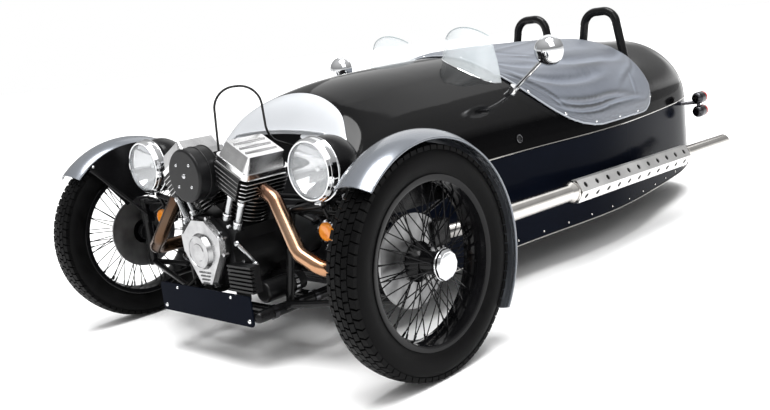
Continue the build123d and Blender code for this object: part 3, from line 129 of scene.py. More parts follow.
# Materials
def shade(name, low, high, rough, metal=0.0, scale=6.0, coat=0.0, spec=0.5, bump=0.0, grain=300.0, alpha=1.0):
    """Material that wanders softly between two colours."""
    mat = bpy.data.materials.new(name)
    mat.use_nodes = True
    tree = mat.node_tree
    bsdf = tree.nodes["Principled BSDF"]
    place = add(tree, "TexCoord").outputs["Object"]
    noise = add(tree, "TexNoise", scale=scale, detail=5.0)
    tree.links.new(place, noise.inputs["Vector"])
    ramp = add(tree, "ValToRGB")
    set_ramp(ramp, ((0.3, low), (0.7, high)))
    tree.links.new(noise.outputs["Fac"], ramp.inputs["Fac"])
    tree.links.new(ramp.outputs["Color"], bsdf.inputs["Base Color"])
    dull = remap(tree, noise.outputs["Fac"], 0.3, 0.7, rough * 0.85, rough * 1.15)
    tree.links.new(dull, bsdf.inputs["Roughness"])
    bsdf.inputs["Metallic"].default_value = metal
    bsdf.inputs["Specular IOR Level"].default_value = spec
    bsdf.inputs["Coat Weight"].default_value = coat
    bsdf.inputs["Coat Roughness"].default_value = 0.04
    bsdf.inputs["Alpha"].default_value = alpha
    if bump:
        fine = add(tree, "TexNoise", scale=grain, detail=3.0)
        tree.links.new(place, fine.inputs["Vector"])
        dent(tree, fine.outputs["Fac"], bump, 0.001)
    return mat


STEEL = ((0.56, 0.54, 0.51), (0.68, 0.66, 0.63), 0.14)
MATS = {
    "gloss_black_paint": shade(
        "gloss_black", (0.0018, 0.0018, 0.002), (0.003, 0.003, 0.0034), 0.09, spec=0.055, scale=2.0
    ),
    "dark_navy_paint": shade(
        "dark_navy", (0.0022, 0.0032, 0.0065), (0.0034, 0.0048, 0.0095), 0.14, spec=0.05, scale=2.0
    ),
    "silver_paint": shade(
        "silver_paint", (0.62, 0.64, 0.67), (0.68, 0.70, 0.73), 0.22, metal=0.25, coat=0.4, scale=3.0
    ),
    "grey_paint": shade(
        "grey_paint", (0.15, 0.163, 0.185), (0.19, 0.203, 0.226), 0.25, metal=0.55, coat=0.4, scale=3.0
    ),
    "black_frame_paint": shade(
        "frame_black", (0.003, 0.003, 0.0033), (0.006, 0.006, 0.0066), 0.24, spec=0.2, scale=8.0
    ),
    "black_sheet": shade("black_sheet", (0.006, 0.006, 0.007), (0.01, 0.01, 0.012), 0.6, spec=0.2, scale=8.0),
    "tonneau_cloth": shade(
        "tonneau_cloth", (0.122, 0.135, 0.162), (0.168, 0.184, 0.214), 0.5, scale=5.0, bump=0.35, grain=1100.0
    ),
    "chrome_trim": shade("chrome", (0.62, 0.63, 0.645), (0.7, 0.705, 0.715), 0.07, metal=1.0),
    "mirror_face": shade("mirror_face", (0.7, 0.72, 0.74), (0.76, 0.77, 0.79), 0.03, metal=1.0),
    "engine_black": shade(
        "engine_black", (0.004, 0.004, 0.0044), (0.009, 0.009, 0.0096), 0.34,
        spec=0.2, bump=0.15, grain=500.0, scale=15.0,
    ),
    "cast_alloy": shade(
        "cast_alloy", (0.32, 0.33, 0.34), (0.45, 0.46, 0.47), 0.4, metal=1.0, bump=0.2, grain=400.0
    ),
    "header_bronze": shade(
        "header_bronze", (0.34, 0.17, 0.09), (0.62, 0.40, 0.24), 0.2, metal=1.0, scale=7.0
    ),
    "silencer_steel": shade("silencer_steel", *STEEL, metal=1.0, scale=7.0),
    "shield_steel": shade(
        "shield_steel", (0.78, 0.775, 0.765), (0.86, 0.855, 0.845), 0.36, metal=1.0, scale=7.0
    ),
    "polished_steel": shade("polished_steel", *STEEL, metal=1.0, scale=7.0),
    "damper_steel": shade("damper_steel", (0.05, 0.05, 0.055), (0.1, 0.1, 0.105), 0.25, metal=1.0),
    "disc_steel": shade("disc_steel", (0.22, 0.22, 0.223), (0.36, 0.36, 0.362), 0.36, metal=1.0, scale=20.0),
    "cable_rubber": shade("cable_rubber", (0.006, 0.006, 0.006), (0.011, 0.011, 0.011), 0.4, spec=0.3),
    "tyre_rubber": shade(
        "tyre_rubber", (0.0016, 0.0016, 0.0017), (0.0034, 0.0034, 0.0036), 0.5,
        spec=0.06, bump=0.25, grain=700.0, scale=20.0,
    ),
    "amber_lens": shade("amber_lens", (0.75, 0.2, 0.01), (0.9, 0.32, 0.02), 0.12, coat=0.5, scale=60.0),
    "red_lens": shade("red_lens", (0.3, 0.005, 0.004), (0.42, 0.012, 0.01), 0.12, coat=0.5, scale=60.0),
    "screen_glass": shade("screen_glass", (0.70, 0.76, 0.78), (0.80, 0.84, 0.86), 0.04, alpha=0.36),
    "lamp_glass": shade("lamp_glass", (0.85, 0.88, 0.9), (0.93, 0.95, 0.96), 0.05, alpha=0.2, scale=30.0),
    "alloy": shade(
        "polished_alloy", (0.62, 0.62, 0.63), (0.78, 0.78, 0.78), 0.19,
        metal=1.0, scale=14.0, bump=0.05, grain=120.0,
    ),
    "cast_polish": shade(
        "cast_polish", (0.30, 0.30, 0.305), (0.48, 0.48, 0.485), 0.24,
        metal=1.0, scale=22.0, bump=0.12, grain=140.0,
    ),
    "fin_edge": shade("fin_edge", (0.34, 0.34, 0.34), (0.55, 0.55, 0.55), 0.22, metal=1.0, scale=30.0),
    "piping": shade("piping", (0.33, 0.35, 0.385), (0.42, 0.44, 0.48), 0.45, spec=0.3, scale=40.0),
    "tube_grey": shade("tube_grey", (0.42, 0.43, 0.44), (0.52, 0.53, 0.54), 0.22, metal=0.9, scale=12.0),
    "spring_steel": shade(
        "spring_steel", (0.16, 0.16, 0.165), (0.28, 0.28, 0.285), 0.14, metal=1.0, scale=30.0
    ),
    "screen_edge": shade("screen_edge", (0.26, 0.33, 0.35), (0.36, 0.43, 0.45), 0.15, spec=0.6, scale=30.0),
    "wheel_black": shade(
        "wheel_black", (0.003, 0.003, 0.0034), (0.005, 0.005, 0.0056), 0.12, spec=0.16, scale=9.0
    ),
}


def heat_tint_and_shade(mat):
    """Bronze by the ports, then copper, then plain steel, with painted shade darkening the right-hand side.
    """
    tree = mat.node_tree
    base = tree.nodes["Principled BSDF"].inputs["Base Color"]
    plain = base.links[0].from_socket
    along, across, up = parts_of(tree, add(tree, "TexCoord").outputs["Object"])
    ramp = add(tree, "ValToRGB")
    port, neck, bend, foot = (0.10, 0.05, 0.05), (0.19, 0.10, 0.07), (0.42, 0.29, 0.21), (0.42, 0.22, 0.12)
    set_ramp(ramp, ((0.0, port), (0.25, neck), (0.6, bend), (1.0, foot)))
    tree.links.new(remap(tree, up, 0.60, 0.33), ramp.inputs["Fac"])
    colour = mix(tree, 0.3, ramp.outputs["Color"], plain)
    steel = remap(tree, along, AXLE + 0.06, AXLE - 0.12)
    colour = mix(tree, steel, colour, (0.30, 0.29, 0.28, 1))
    # painted shade: colour falls to 0.22 on the right-hand side
    right_side_shade = remap(tree, across, -0.05, 0.05, 0.22, 1.0)
    tree.links.new(mix(tree, 1.0, colour, right_side_shade, "MULTIPLY"), base)


def shaded_under_shields(mat, rear, front):
    """Painted shade: near-black steel between two places along the car, where the heat shields cover it."""
    tree = mat.node_tree
    base = tree.nodes["Principled BSDF"].inputs["Base Color"]
    along = parts_of(tree, add(tree, "TexCoord").outputs["Object"])["X"]
    past_rear = calculate(tree, "GREATER_THAN", along, rear)
    short_of_front = calculate(tree, "LESS_THAN", along, front)
    under = calculate(tree, "MULTIPLY", past_rear, short_of_front)
    # painted shade under the heat shields
    shield_shade = (0.012, 0.012, 0.013, 1)
    tree.links.new(mix(tree, under, base.links[0].from_socket, shield_shade), base)


def sheen(mat):
    """Sky sheen on the shoulders of the body, quiet flanks below them."""
    tree = mat.node_tree
    ramp = add(tree, "ValToRGB")
    levels = ((0.27, 0.010), (0.36, 0.26), (0.62, 0.24), (0.88, 0.06))
    set_ramp(ramp, [(place, (level, level, level)) for place, level in levels])
    up = parts_of(tree, add(tree, "NewGeometry").outputs["Normal"])["Z"]
    tree.links.new(up, ramp.inputs["Fac"])
    tree.links.new(ramp.outputs["Color"], tree.nodes["Principled BSDF"].inputs["Specular IOR Level"])


def painted_crease_shade(mat):
    """Painted shade where the cloth folds inward, painted highlight on its ridges."""
    tree = mat.node_tree
    base = tree.nodes["Principled BSDF"].inputs["Base Color"]
    bend = add(tree, "NewGeometry").outputs["Pointiness"]
    # painted shade in the fold valleys down to 0.22, painted highlight on the ridges up to 1.25
    tone = remap(tree, bend, 0.47, 0.512, 0.22, 1.25)
    tree.links.new(mix(tree, 1.0, base.links[0].from_socket, tone, "MULTIPLY"), base)


def flutes(mat):
    """Upright flutes pressed into the lamp glass."""
    tree = mat.node_tree
    wave = add(tree, "TexWave", scale=42.0)
    wave.bands_direction = "Y"
    tree.links.new(add(tree, "TexCoord").outputs["Object"], wave.inputs["Vector"])
    dent(tree, wave.outputs["Fac"], 0.55, 0.002)


heat_tint_and_shade(MATS["header_bronze"])
SHIELD_REAR, SHIELD_FRONT = (corner[0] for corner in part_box("heat_shields"))
SHIELD_LAP = 0.004
shaded_under_shields(MATS["silencer_steel"], SHIELD_REAR + SHIELD_LAP, SHIELD_FRONT - SHIELD_LAP)
sheen(MATS["gloss_black_paint"])
sheen(MATS["dark_navy_paint"])
painted_crease_shade(MATS["tonneau_cloth"])
flutes(MATS["lamp_glass"])
NODE_MATS = {
    "rocker_covers": "alloy",
    "cam_cover": "cast_polish",
    "pushrod_tubes": "tube_grey",
    "rear_lamp_bodies": "damper_steel",
    "silencers": "silencer_steel",
    "heat_shields": "shield_steel",
}
for part in frame["record"]["subparts"]:
    mesh = nodes[part["node"]].data
    mesh.materials.clear()
    mesh.materials.append(MATS[NODE_MATS.get(part["node"], part["material_slot"])])


# Mesh forms
def basis(axis):
    """Two directions square to an axis, and the axis itself."""
    w = Vector(axis).normalized()
    u = w.cross(UP if abs(w.z) < 0.9 else AHEAD).normalized()
    return u, w.cross(u), w


def way_round(angle, u, v):
    """Direction turned by an angle from u towards v."""
    return math.cos(angle) * u + math.sin(angle) * v


def turned(centre, radius, degrees, across):
    """Place round a wheel's axle, by its angle from ahead and its distance across."""
    return centre + radius * way_round(math.radians(degrees), AHEAD, UP) + across * ACROSS


def circle(centre, radius, count, u=ACROSS, v=UP):
    """Closed ring of points."""
    angles = np.linspace(0, 2 * math.pi, count, endpoint=False)
    return [Vector(centre) + radius * way_round(a, u, v) for a in angles]


def mirrored(point, hand):
    return Vector((point.x, point.y * hand, point.z))


class Form:
    """One mesh piece built up from grids, lathed rings and tubes."""

    def __init__(self):
        self.verts, self.faces, self.kinds, self.kind = [], [], [], 0

    def put(self, verts, faces):
        base = len(self.verts)
        self.verts += [tuple(v) for v in verts]
        self.faces += [tuple(base + i for i in f) for f in faces]
        self.kinds += [self.kind] * len(faces)

    def grid(self, rows, around=False, along=False):
        n, m = len(rows), len(rows[0])
        faces = []
        for r in range(n if along else n - 1):
            for c in range(m if around else m - 1):
                d, s = (c + 1) % m, (r + 1) % n
                faces.append((r * m + c, r * m + d, s * m + d, s * m + c))
        self.put([p for row in rows for p in row], faces)

    def lathe(self, centre, axis, profile, turns, closed=False):
        """Profile of (along the axis, radius) turned round the axis."""
        u, v, w = basis(axis)
        angles = [2 * math.pi * i / turns for i in range(turns)]
        ring = [way_round(a, u, v) for a in angles]
        rows = [[Vector(centre) + w * a + r * way for way in ring] for a, r in profile]
        self.grid(rows, around=True, along=closed)

    def tube(self, path, radius, sides=8, closed=False):
        path = [Vector(p) for p in path]
        n = len(path)
        angles = [2 * math.pi * k / sides for k in range(sides)]
        rows, side = [], None
        for i, p in enumerate(path):
            back = path[i - 1] if i or closed else p
            ahead = path[(i + 1) % n] if i < n - 1 or closed else p
            t = (ahead - back).normalized()
            side = basis(t)[0] if side is None else (side - side.dot(t) * t).normalized()
            other = t.cross(side)
            rows.append([p + radius * way_round(a, side, other) for a in angles])
        self.grid(rows, around=True, along=closed)
        if not closed:
            first = len(self.verts) - n * sides
            last = first + (n - 1) * sides
            self.faces.append(tuple(first + k for k in reversed(range(sides))))
            self.faces.append(tuple(last + k for k in range(sides)))
            self.kinds += [self.kind] * 2

    def bolt(self, place, axis, radius, height, sides=6):
        self.lathe(place, axis, [(0, radius), (height, radius), (height, 0.0001)], sides)

    def dome(self, place, axis, radius, height, turns=12):
        steps = [math.radians(a) for a in (0, 30, 60, 89)]
        self.lathe(place, axis, [(height * math.sin(a), radius * math.cos(a)) for a in steps], turns)

    def done(self, name, mats, body="chassis", node=(), angle=40):
        mesh = bpy.data.meshes.new(name)
        mesh.from_pydata(self.verts, [], self.faces)
        mesh.polygons.foreach_set("material_index", self.kinds)
        for key in mats:
            mesh.materials.append(MATS[key])
        mesh.shade_smooth()
        mesh.set_sharp_from_angle(angle=math.radians(angle))
        mesh.update()
        obj = bpy.data.objects.new(name, mesh)
        scene.collection.objects.link(obj)
        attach(obj, body)
        if node:
            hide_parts(*node)
        return obj


# Body skin through the same stations as the panels, in millimetres: behind the axle, half width, crown
STATIONS = (
    (45, 424, 640), (150, 429, 692), (185, 431, 742), (225, 433, 802), (300, 437, 837), (690, 449, 877),
    (1020, 468, 884), (1299.6, 496, 884), (1560.2, 510, 881), (1830, 491, 872), (2060, 461, 858),
    (2250, 431, 846), (2445, 395, 834), (2630.8, 355, 829),
)
KNOTS = np.array([s[0] for s in STATIONS])
BEAD, PROUD = 500.0, 0.0012
STERN_BEHIND, STERN_RADIUS, STERN_TURN = 2527, 0.355, math.radians(17)


def section(wide, crown, v):
    """Half section of two arcs, from the bead at 0 to the crown at 1."""
    high = crown - BEAD
    small = 0.92 * min(high, wide)
    large = (wide**2 + high**2 - 2 * wide * small) / (2 * (high - small))
    reach, base = wide - small, high - large
    turn = math.atan2(reach, -base)
    if v < 0.5:
        low = v * 2 * (math.pi / 2 - turn)
        return reach + small * math.cos(low), BEAD + small * math.sin(low)
    top = (2 - v * 2) * turn
    return large * math.sin(top), BEAD + base + large * math.cos(top)


def controls(v):
    """Places at one share of every station's section."""
    points = []
    for behind, wide, crown in STATIONS[:-1]:
        points.append((-behind, *section(wide, crown, v)))
    y, z = section(*STATIONS[-1][1:], v)
    points.append((-STERN_BEHIND - math.sin(STERN_TURN) * y, math.cos(STERN_TURN) * y, z))
    return np.array(points)


def row_at(v):
    """Natural spline along the body at one share of the section."""
    points, n, h = controls(v), len(KNOTS), np.diff(KNOTS)
    a, b = np.eye(n), np.zeros((n, 3))
    for i in range(1, n - 1):
        a[i, i - 1 : i + 2] = h[i - 1], 2 * (h[i - 1] + h[i]), h[i]
        b[i] = 6 * ((points[i + 1] - points[i]) / h[i] - (points[i] - points[i - 1]) / h[i - 1])
    m = np.linalg.solve(a, b)

    def find(t):
        i = int(np.clip(np.searchsorted(KNOTS, t) - 1, 0, n - 2))
        p, q, s = KNOTS[i + 1] - t, t - KNOTS[i], h[i]
        out = (m[i] * p**3 + m[i + 1] * q**3) / (6 * s)
        out += (points[i] / s - m[i] * s / 6) * p + (points[i + 1] / s - m[i + 1] * s / 6) * q
        return Vector((AXLE + out[0] / 1000, out[1] / 1000, out[2] / 1000))

    return find


ROWS = {}
ROWS_IN_ALL = 400


def skin(t, v):
    """Place on the left skin, t millimetres behind the axle, at share v from bead to crown."""
    key = round(v * ROWS_IN_ALL)
    if key not in ROWS:
        ROWS[key] = row_at(key / ROWS_IN_ALL)
    return ROWS[key](t)


def skin_out(t, v):
    """Outward normal of the left skin."""
    across = skin(t, min(v + 0.02, 1.0)) - skin(t, max(v - 0.02, 0.0))
    if v > 0.98:
        across = Vector((0, -1, 0))
    along = skin(t + 5, v) - skin(t - 5, v)
    return along.cross(across).normalized()


V_STEPS = [k / 200 for k in range(201)]


def v_at(t, z):
    """Share of the section at a height in millimetres."""
    return float(np.interp(z, [skin(t, v).z * 1000 for v in V_STEPS], V_STEPS))


def arc_point(a, mid, b, share):
    """Place along the arc through three points."""
    (ax, ay), (bx, by), (cx, cy) = a, mid, b
    d = 2 * (ax * (by - cy) + bx * (cy - ay) + cx * (ay - by))
    aa, bb, cc = ax**2 + ay**2, bx**2 + by**2, cx**2 + cy**2
    ux = (aa * (by - cy) + bb * (cy - ay) + cc * (ay - by)) / d
    uy = (aa * (cx - bx) + bb * (ax - cx) + cc * (bx - ax)) / d
    start, end = math.atan2(ay - uy, ax - ux), math.atan2(cy - uy, cx - ux)
    sweep = (end - start + math.pi) % (2 * math.pi) - math.pi
    angle = start + sweep * share
    radius = math.hypot(ax - ux, ay - uy)
    return ux + radius * math.cos(angle), uy + radius * math.sin(angle)


def belt(start, z=None):
    """Line round the body just outside the bead, or at another height."""
    flank = [skin(start + (KNOTS[-1] - start) * k / 60, 0) for k in range(61)]
    line = list(flank)
    for k in range(1, 24):
        a = STERN_TURN + (math.pi - 2 * STERN_TURN) * k / 24
        behind = AXLE - STERN_BEHIND / 1000 - STERN_RADIUS * math.sin(a)
        line.append(Vector((behind, STERN_RADIUS * math.cos(a), BEAD / 1000)))
    line += [mirrored(p, -1) for p in reversed(flank)]
    return [Vector((p.x, p.y + (PROUD if p.y > 0 else -PROUD), p.z if z is None else z)) for p in line]


# Body trim
BELT_START, SILL_Z = 232, 0.1425
RIVET_START, RIVET_Z, RIVET_PITCH, RIVET_RADIUS, RIVET_HEIGHT = 260, 0.162, 0.14, 0.0042, 0.003


def body_trim():
    """Beads at the belt and the sill, and rivets above the sill."""
    trim = Form()
    trim.tube(belt(BELT_START), 0.0028, 6)
    trim.tube(belt(BELT_START, SILL_Z), 0.0026, 6)
    rivet_line = belt(RIVET_START, RIVET_Z)
    run = 0.0
    for a, b in zip(rivet_line, rivet_line[1:]):
        run += (b - a).length
        if run > RIVET_PITCH:
            run = 0.0
            out = (b - a).cross(UP).normalized()
            place = b - out * PROUD if out.y * b.y < 0 else b
            faces_out = out.y * b.y > 0 or abs(b.y) < 0.05
            trim.dome(place, out if faces_out else -out, RIVET_RADIUS, RIVET_HEIGHT, 10)
    trim.done("body_trim", ["polished_steel"])


MOUTH_LOW, MOUTH_HIGH = (45, 544.3), (165, 696.0)


def cowl_lip():
    """Rolled edge round the mouth of the nose cowl."""
    lip = Form()
    slope = (MOUTH_HIGH[1] - MOUTH_LOW[1]) / (MOUTH_HIGH[0] - MOUTH_LOW[0])
    places = [MOUTH_LOW[0] + 25 * k for k in range(5)] + [MOUTH_HIGH[0]]
    cut = [(t, v_at(t, MOUTH_LOW[1] + slope * (t - MOUTH_LOW[0]))) for t in places]
    low, high = cut[0][1], cut[-1][1]
    path = [(MOUTH_LOW[0], low * k / 6) for k in range(6)] + cut
    path += [(MOUTH_HIGH[0], high + (1 - high) * k / 16) for k in range(1, 17)]
    edge = [skin(t, v) + skin_out(t, v) * 0.003 for t, v in path]
    edge += [mirrored(p, -1) for p in reversed(edge[:-1])]
    lip.tube(edge, 0.004, 8)
    lip.done("cowl_lip", ["silver_paint"])


SCREEN_LEAN = math.radians(25)
SCREEN_UP = way_round(SCREEN_LEAN, UP, -AHEAD)
SCREEN_OUT = way_round(SCREEN_LEAN, AHEAD, UP)
SCREEN_Y, SCREEN_HALF, SCREEN_RADIUS = 0.205, 0.15, 0.148
SCREEN_FOOT = Vector((AXLE - 1.090, SCREEN_Y, 0.860)) - SCREEN_UP * 0.2
SCREEN_TOP = ((0.360, 0.866), (0.185, 0.990), (0.050, 0.876))
SCREEN_REAR = AXLE - 1.0215


def skin_height(x, y):
    row = [skin((AXLE - x) * 1000, v / 50) for v in range(51)]
    return float(np.interp(-y, [-p.y for p in row], [p.z for p in row]))


def on_screen(y, rise):
    """Place on the rolled screen at a distance across and a rise up its lean."""
    turn = math.asin(max(-1.0, min(1.0, (y - SCREEN_Y) / SCREEN_HALF)))
    return SCREEN_FOOT + SCREEN_RADIUS * way_round(turn, SCREEN_OUT, ACROSS) + rise * SCREEN_UP


def screen_foot(y):
    """Place where the screen meets the skin, found by halving."""
    low, high = 0.0, 0.42
    for _ in range(14):
        mid = (low + high) / 2
        p = on_screen(y, mid)
        low, high = (mid, high) if p.z < skin_height(p.x, y) else (low, mid)
    return on_screen(y, high)


def screen_trim():
    """Bright edge on top of each screen and a strip at its foot."""
    span = np.array([arc_point(*SCREEN_TOP, q / 60) for q in range(61)])
    top_line, foot_line = [], []
    for k in range(33):
        y = SCREEN_Y + 0.1485 * math.sin(math.radians(-88 + 176 * k / 32))
        foot_line.append(screen_foot(y))
        height = float(np.interp(-y, -span[:, 0], span[:, 1]))
        base = on_screen(y, 0.0)
        top_line.append(base + SCREEN_UP * (height - base.z) / SCREEN_UP.z)
    trim = Form()
    for hand in (1, -1):
        for kind, line, radius in ((0, top_line, 0.0021), (1, foot_line, 0.0034)):
            trim.kind = kind
            trim.tube([mirrored(p, hand) for p in line if p.x > SCREEN_REAR], radius, 8)
    trim.done("screen_trim", ["screen_edge", "chrome_trim"])


LOCK_BEHIND, LOCK_SHARE = 955, 0.068
LOCK_RING = ((-0.002, 0.017), (0.004, 0.017), (0.0055, 0.0145), (0.0045, 0.0125), (0.001, 0.0115))


def bonnet_locks():
    lock = Form()
    for hand in (1, -1):
        place = mirrored(skin(LOCK_BEHIND, LOCK_SHARE), hand)
        out = mirrored(skin_out(LOCK_BEHIND, LOCK_SHARE), hand)
        lock.kind = 0
        lock.lathe(place, out, LOCK_RING, 24)
        lock.kind = 1
        lock.lathe(place, out, [(0.0015, 0.012), (0.002, 0.0001)], 24)
    lock.done("bonnet_locks", ["damper_steel", "engine_black"])


body_trim()
cowl_lip()
screen_trim()
bonnet_locks()

# Tonneau cover: hem in millimetres, behind the axle and up
HEM_FRONT = ((1040, 790), (1235, 602), (1560, 526))
HEM_REAR = ((1900, 522), (2008, 570), (2046, 700))
hem_line = [arc_point(*HEM_FRONT, k / 24) for k in range(25)]
hem_line += [(1560 + 34 * k, 526 - 0.4 * k) for k in range(1, 11)]
hem_line += [arc_point(*HEM_REAR, k / 14) for k in range(1, 15)]
HEM_B, HEM_Z = np.array(hem_line).T
CLOTH_ENDS = (1030, 2062)
CLOTH_COLUMNS = [1033, 1036, *np.linspace(1040, 2000, 111), *np.linspace(2004, 2056, 14)]
CLOTH_STEPS = 96
CLOTH_RISE, CLOTH_LEAST, CLOTH_THICK, PANEL_GAP = 0.0150, 0.0017, 0.0022, 0.0026
# Folds: start behind, start share, end behind, end share, bow, half width, depth in millimetres
FOLDS = (
    (1250, 0.430, 2035, 0.380, -0.045, 0.030, -11.0), (1300, 0.325, 1840, 0.360, -0.020, 0.030, 5.0),
    (1090, 0.200, 1650, 0.260, 0.005, 0.025, -9.0), (1070, 0.085, 1245, 0.060, 0.044, 0.017, -14.0),
    (1255, 0.088, 1770, 0.110, 0.024, 0.015, -14.0), (1240, 0.038, 1840, 0.090, 0.027, 0.012, -13.0),
    (1823, 0.125, 1872, 0.219, 0.000, 0.035, -3.0), (1180, 0.600, 1340, 0.450, 0.000, 0.030, -5.0),
    (1200, 0.480, 2030, 0.450, -0.030, 0.040, 5.0), (1060, 0.300, 1320, 0.360, 0.000, 0.025, -5.0),
    (1100, 0.580, 1900, 0.900, 0.000, 0.045, 5.0), (1250, 0.720, 2040, 0.980, 0.000, 0.040, -5.0),
    (1200, 0.880, 1980, 0.800, 0.000, 0.040, 4.0), (1700, 0.170, 2030, 0.300, 0.010, 0.022, 4.0),
)
SOLIDS = []
for name in ("tonneau_cover", "cockpit_surround", "tail_deck", "bonnet"):
    solid = nodes[name]
    corners = [solid.matrix_world @ v.co for v in solid.data.vertices]
    SOLIDS.append(BVHTree.FromPolygons(corners, [tuple(f.vertices) for f in solid.data.polygons]))


def fold(t, share, hand):
    """Height of the folds at a place, in millimetres."""
    depth = 0.5 * math.sin(t * 0.013 + share * 9) * math.sin(share * 14 + hand)
    for i, (b0, s0, b1, s1, bow, wide, deep) in enumerate(FOLDS):
        shift = 0.03 * math.sin(2.1 * i + 1.3) if hand < 0 else 0.0
        k = (t - b0) / (b1 - b0)
        if -0.25 < k < 1.25:
            line = s0 + (s1 - s0) * k + bow * 4 * k * (1 - k) + shift
            fade = math.exp(-(((k - 0.5) / 0.46) ** 4))
            depth += deep * fade * math.exp(-(((share - line) / wide) ** 2))
    return depth


def seat(p, n):
    """Place just outside the solids along the skin's normal."""
    rises = [0.0]
    for i, solid in enumerate(SOLIDS):
        hit = solid.ray_cast(p + n * 0.06, -n, 0.08)[0]
        if hit is not None:
            rises.append((hit - p).dot(n) + (0.0 if i == 0 else PANEL_GAP))
    return p + n * max(rises)


def cloth_rows():
    """Rows of points on the upper and the under face, each from the left hem over to the right one."""
    upper, under = [], []
    shares = [(k / CLOTH_STEPS) ** 1.5 for k in range(CLOTH_STEPS + 1)]
    over = [(1, share) for share in shares] + [(-1, share) for share in reversed(shares[:-1])]
    for t in CLOTH_COLUMNS:
        rear = HEM_REAR[-1]
        low = float(np.interp(t, HEM_B, HEM_Z)) if t < rear[0] else rear[1] + (t - rear[0]) * 12.0
        v0 = v_at(t, low)
        upper_row, under_row = [], []
        for hand, share in over:
            v = v0 + (1 - v0) * share
            n = skin_out(t, v)
            slack = min(1.0, share / 0.06, (t - CLOTH_ENDS[0]) / 60, (CLOTH_ENDS[1] - t) / 50)
            rise = max(0.0, slack) ** 0.7 * (CLOTH_RISE + fold(t, share, hand) / 1000)
            rise = max(rise, CLOTH_LEAST)
            base = seat(skin(t, v), n)
            upper_row.append(mirrored(base + n * rise, hand))
            under_row.append(mirrored(base + n * (rise - CLOTH_THICK), hand))
        upper.append(upper_row)
        under.append(under_row)
    return upper, under


def tonneau_snaps(cover, rim):
    """Press studs along the hem."""
    snaps = Form()
    count, width = len(cover), len(cover[0])
    run, pitch = 0.0, 0.19
    for (r0, c0), (r, c) in zip(rim, rim[1:]):
        run += (cover[r][c] - cover[r0][c0]).length
        if run > pitch:
            run = 0.0
            inner = cover[min(max(r, 3), count - 4)][min(max(c, 9), width - 10)]
            place = cover[r][c].lerp(inner, 0.55)
            up = Vector((0, place.y, place.z - 0.45)).normalized()
            snaps.dome(place - up * 0.001, up, 0.0075, 0.0045, 14)
    return snaps.done("tonneau_snaps", ["chrome_trim"])


def tonneau():
    """Cloth with folds, its piping and its press studs."""
    cover, bottom = cloth_rows()
    cloth = Form()
    cloth.grid(cover)
    cloth.grid([list(reversed(row)) for row in bottom])
    count, width = len(cover), len(cover[0])
    rim = [(0, c) for c in range(width)] + [(r, width - 1) for r in range(1, count)]
    rim += [(count - 1, c) for c in range(width - 2, -1, -1)] + [(r, 0) for r in range(count - 2, 0, -1)]
    loop = 2 * len(rim)
    walls = [(i, i + 1, (i + 3) % loop, (i + 2) % loop) for i in range(0, loop, 2)]
    cloth.put([rows[r][c] for r, c in rim for rows in (cover, bottom)], walls)
    sheet = cloth.done("tonneau", ["tonneau_cloth"], node=["tonneau_cover"], angle=75)
    hem = Form()
    hem.tube([cover[r][c] for r, c in rim], 0.0038, 8, closed=True)
    piping = hem.done("tonneau_piping", ["piping"])
    snaps = tonneau_snaps(cover, rim)


tonneau()


# Wheels, with profiles as distance across and radius
def both_halves(half):
    """Profile from one edge over the crown to the other."""
    return [(-y, r) for y, r in half] + [(y, r) for y, r in reversed(half[:-1])]


CARCASS = both_halves((
    (0.0426, 0.2425), (0.0430, 0.2560), (0.0470, 0.2640), (0.0530, 0.2780), (0.0555, 0.2920),
    (0.0548, 0.3060), (0.0520, 0.3170), (0.0475, 0.3250), (0.0400, 0.3305), (0.0200, 0.3345), (0.0, 0.3355),
))
REAR_CARCASS = both_halves((
    (0.084, 0.206), (0.0845, 0.221), (0.092, 0.236), (0.0970, 0.256), (0.0955, 0.274), (0.0905, 0.288),
    (0.080, 0.2975), (0.045, 0.3025), (0.0, 0.3045),
))
# Rows of tread blocks: from across, to across, start in pitches, skew in radians
TREAD = (
    (-0.0505, -0.0325, 0.0, -0.012), (-0.0300, -0.0115, 0.5, 0.012), (-0.0090, 0.0090, 0.0, -0.012),
    (0.0115, 0.0300, 0.5, 0.012), (0.0325, 0.0505, 0.0, -0.012),
)
REAR_TREAD = (
    (-0.090, -0.064, 0.0, -0.03), (-0.060, -0.034, 0.5, 0.02), (-0.030, -0.003, 0.0, -0.02),
    (0.003, 0.030, 0.5, 0.02), (0.034, 0.060, 0.0, -0.02), (0.064, 0.090, 0.5, 0.03),
)
HALF_RIM_WELL = (
    (0.047, 0.2535), (0.0455, 0.2552), (0.0438, 0.2535), (0.0432, 0.240), (0.022, 0.237), (0.016, 0.230),
)
HALF_RIM_BACK = ((0.0455, 0.240), (0.043, 0.2355), (0.030, 0.231), (0.018, 0.226))
RIM = [(-y, r) for y, r in HALF_RIM_WELL] + list(reversed(HALF_RIM_WELL))
RIM += list(HALF_RIM_BACK) + [(-y, r) for y, r in reversed(HALF_RIM_BACK)]
HUB = (
    (-0.024, 0.0184), (-0.024, 0.058), (-0.021, 0.060), (-0.018, 0.060), (-0.006, 0.046), (0.006, 0.036),
    (0.012, 0.034), (0.056, 0.034), (0.062, 0.038), (0.066, 0.042), (0.074, 0.042), (0.076, 0.040),
    (0.076, 0.001),
)
ROUND_CAP = ((0.0745, 0.0475), (0.0775, 0.0478), (0.0790, 0.0465))
TEN_SIDED_CAP = (
    (0.0790, 0.0465), (0.0840, 0.0455), (0.0895, 0.0395), (0.0900, 0.0385), (0.0892, 0.0345),
    (0.0896, 0.0335), (0.0898, 0.0001),
)
# Spokes: hub radius, hub across, rim across, lead in degrees, count, phase
SPOKES = (
    (0.038, 0.068, 0.014, 13.0, 28, 0.0), (0.050, -0.012, -0.004, 15.0, 20, 0.25),
    (0.050, -0.014, -0.013, 8.0, 12, 0.6),
)
SPOKE_END, SPOKE_RADIUS, NIPPLE_RADIUS, NIPPLE_LENGTH = 0.228, 0.0019, 0.0033, 0.018


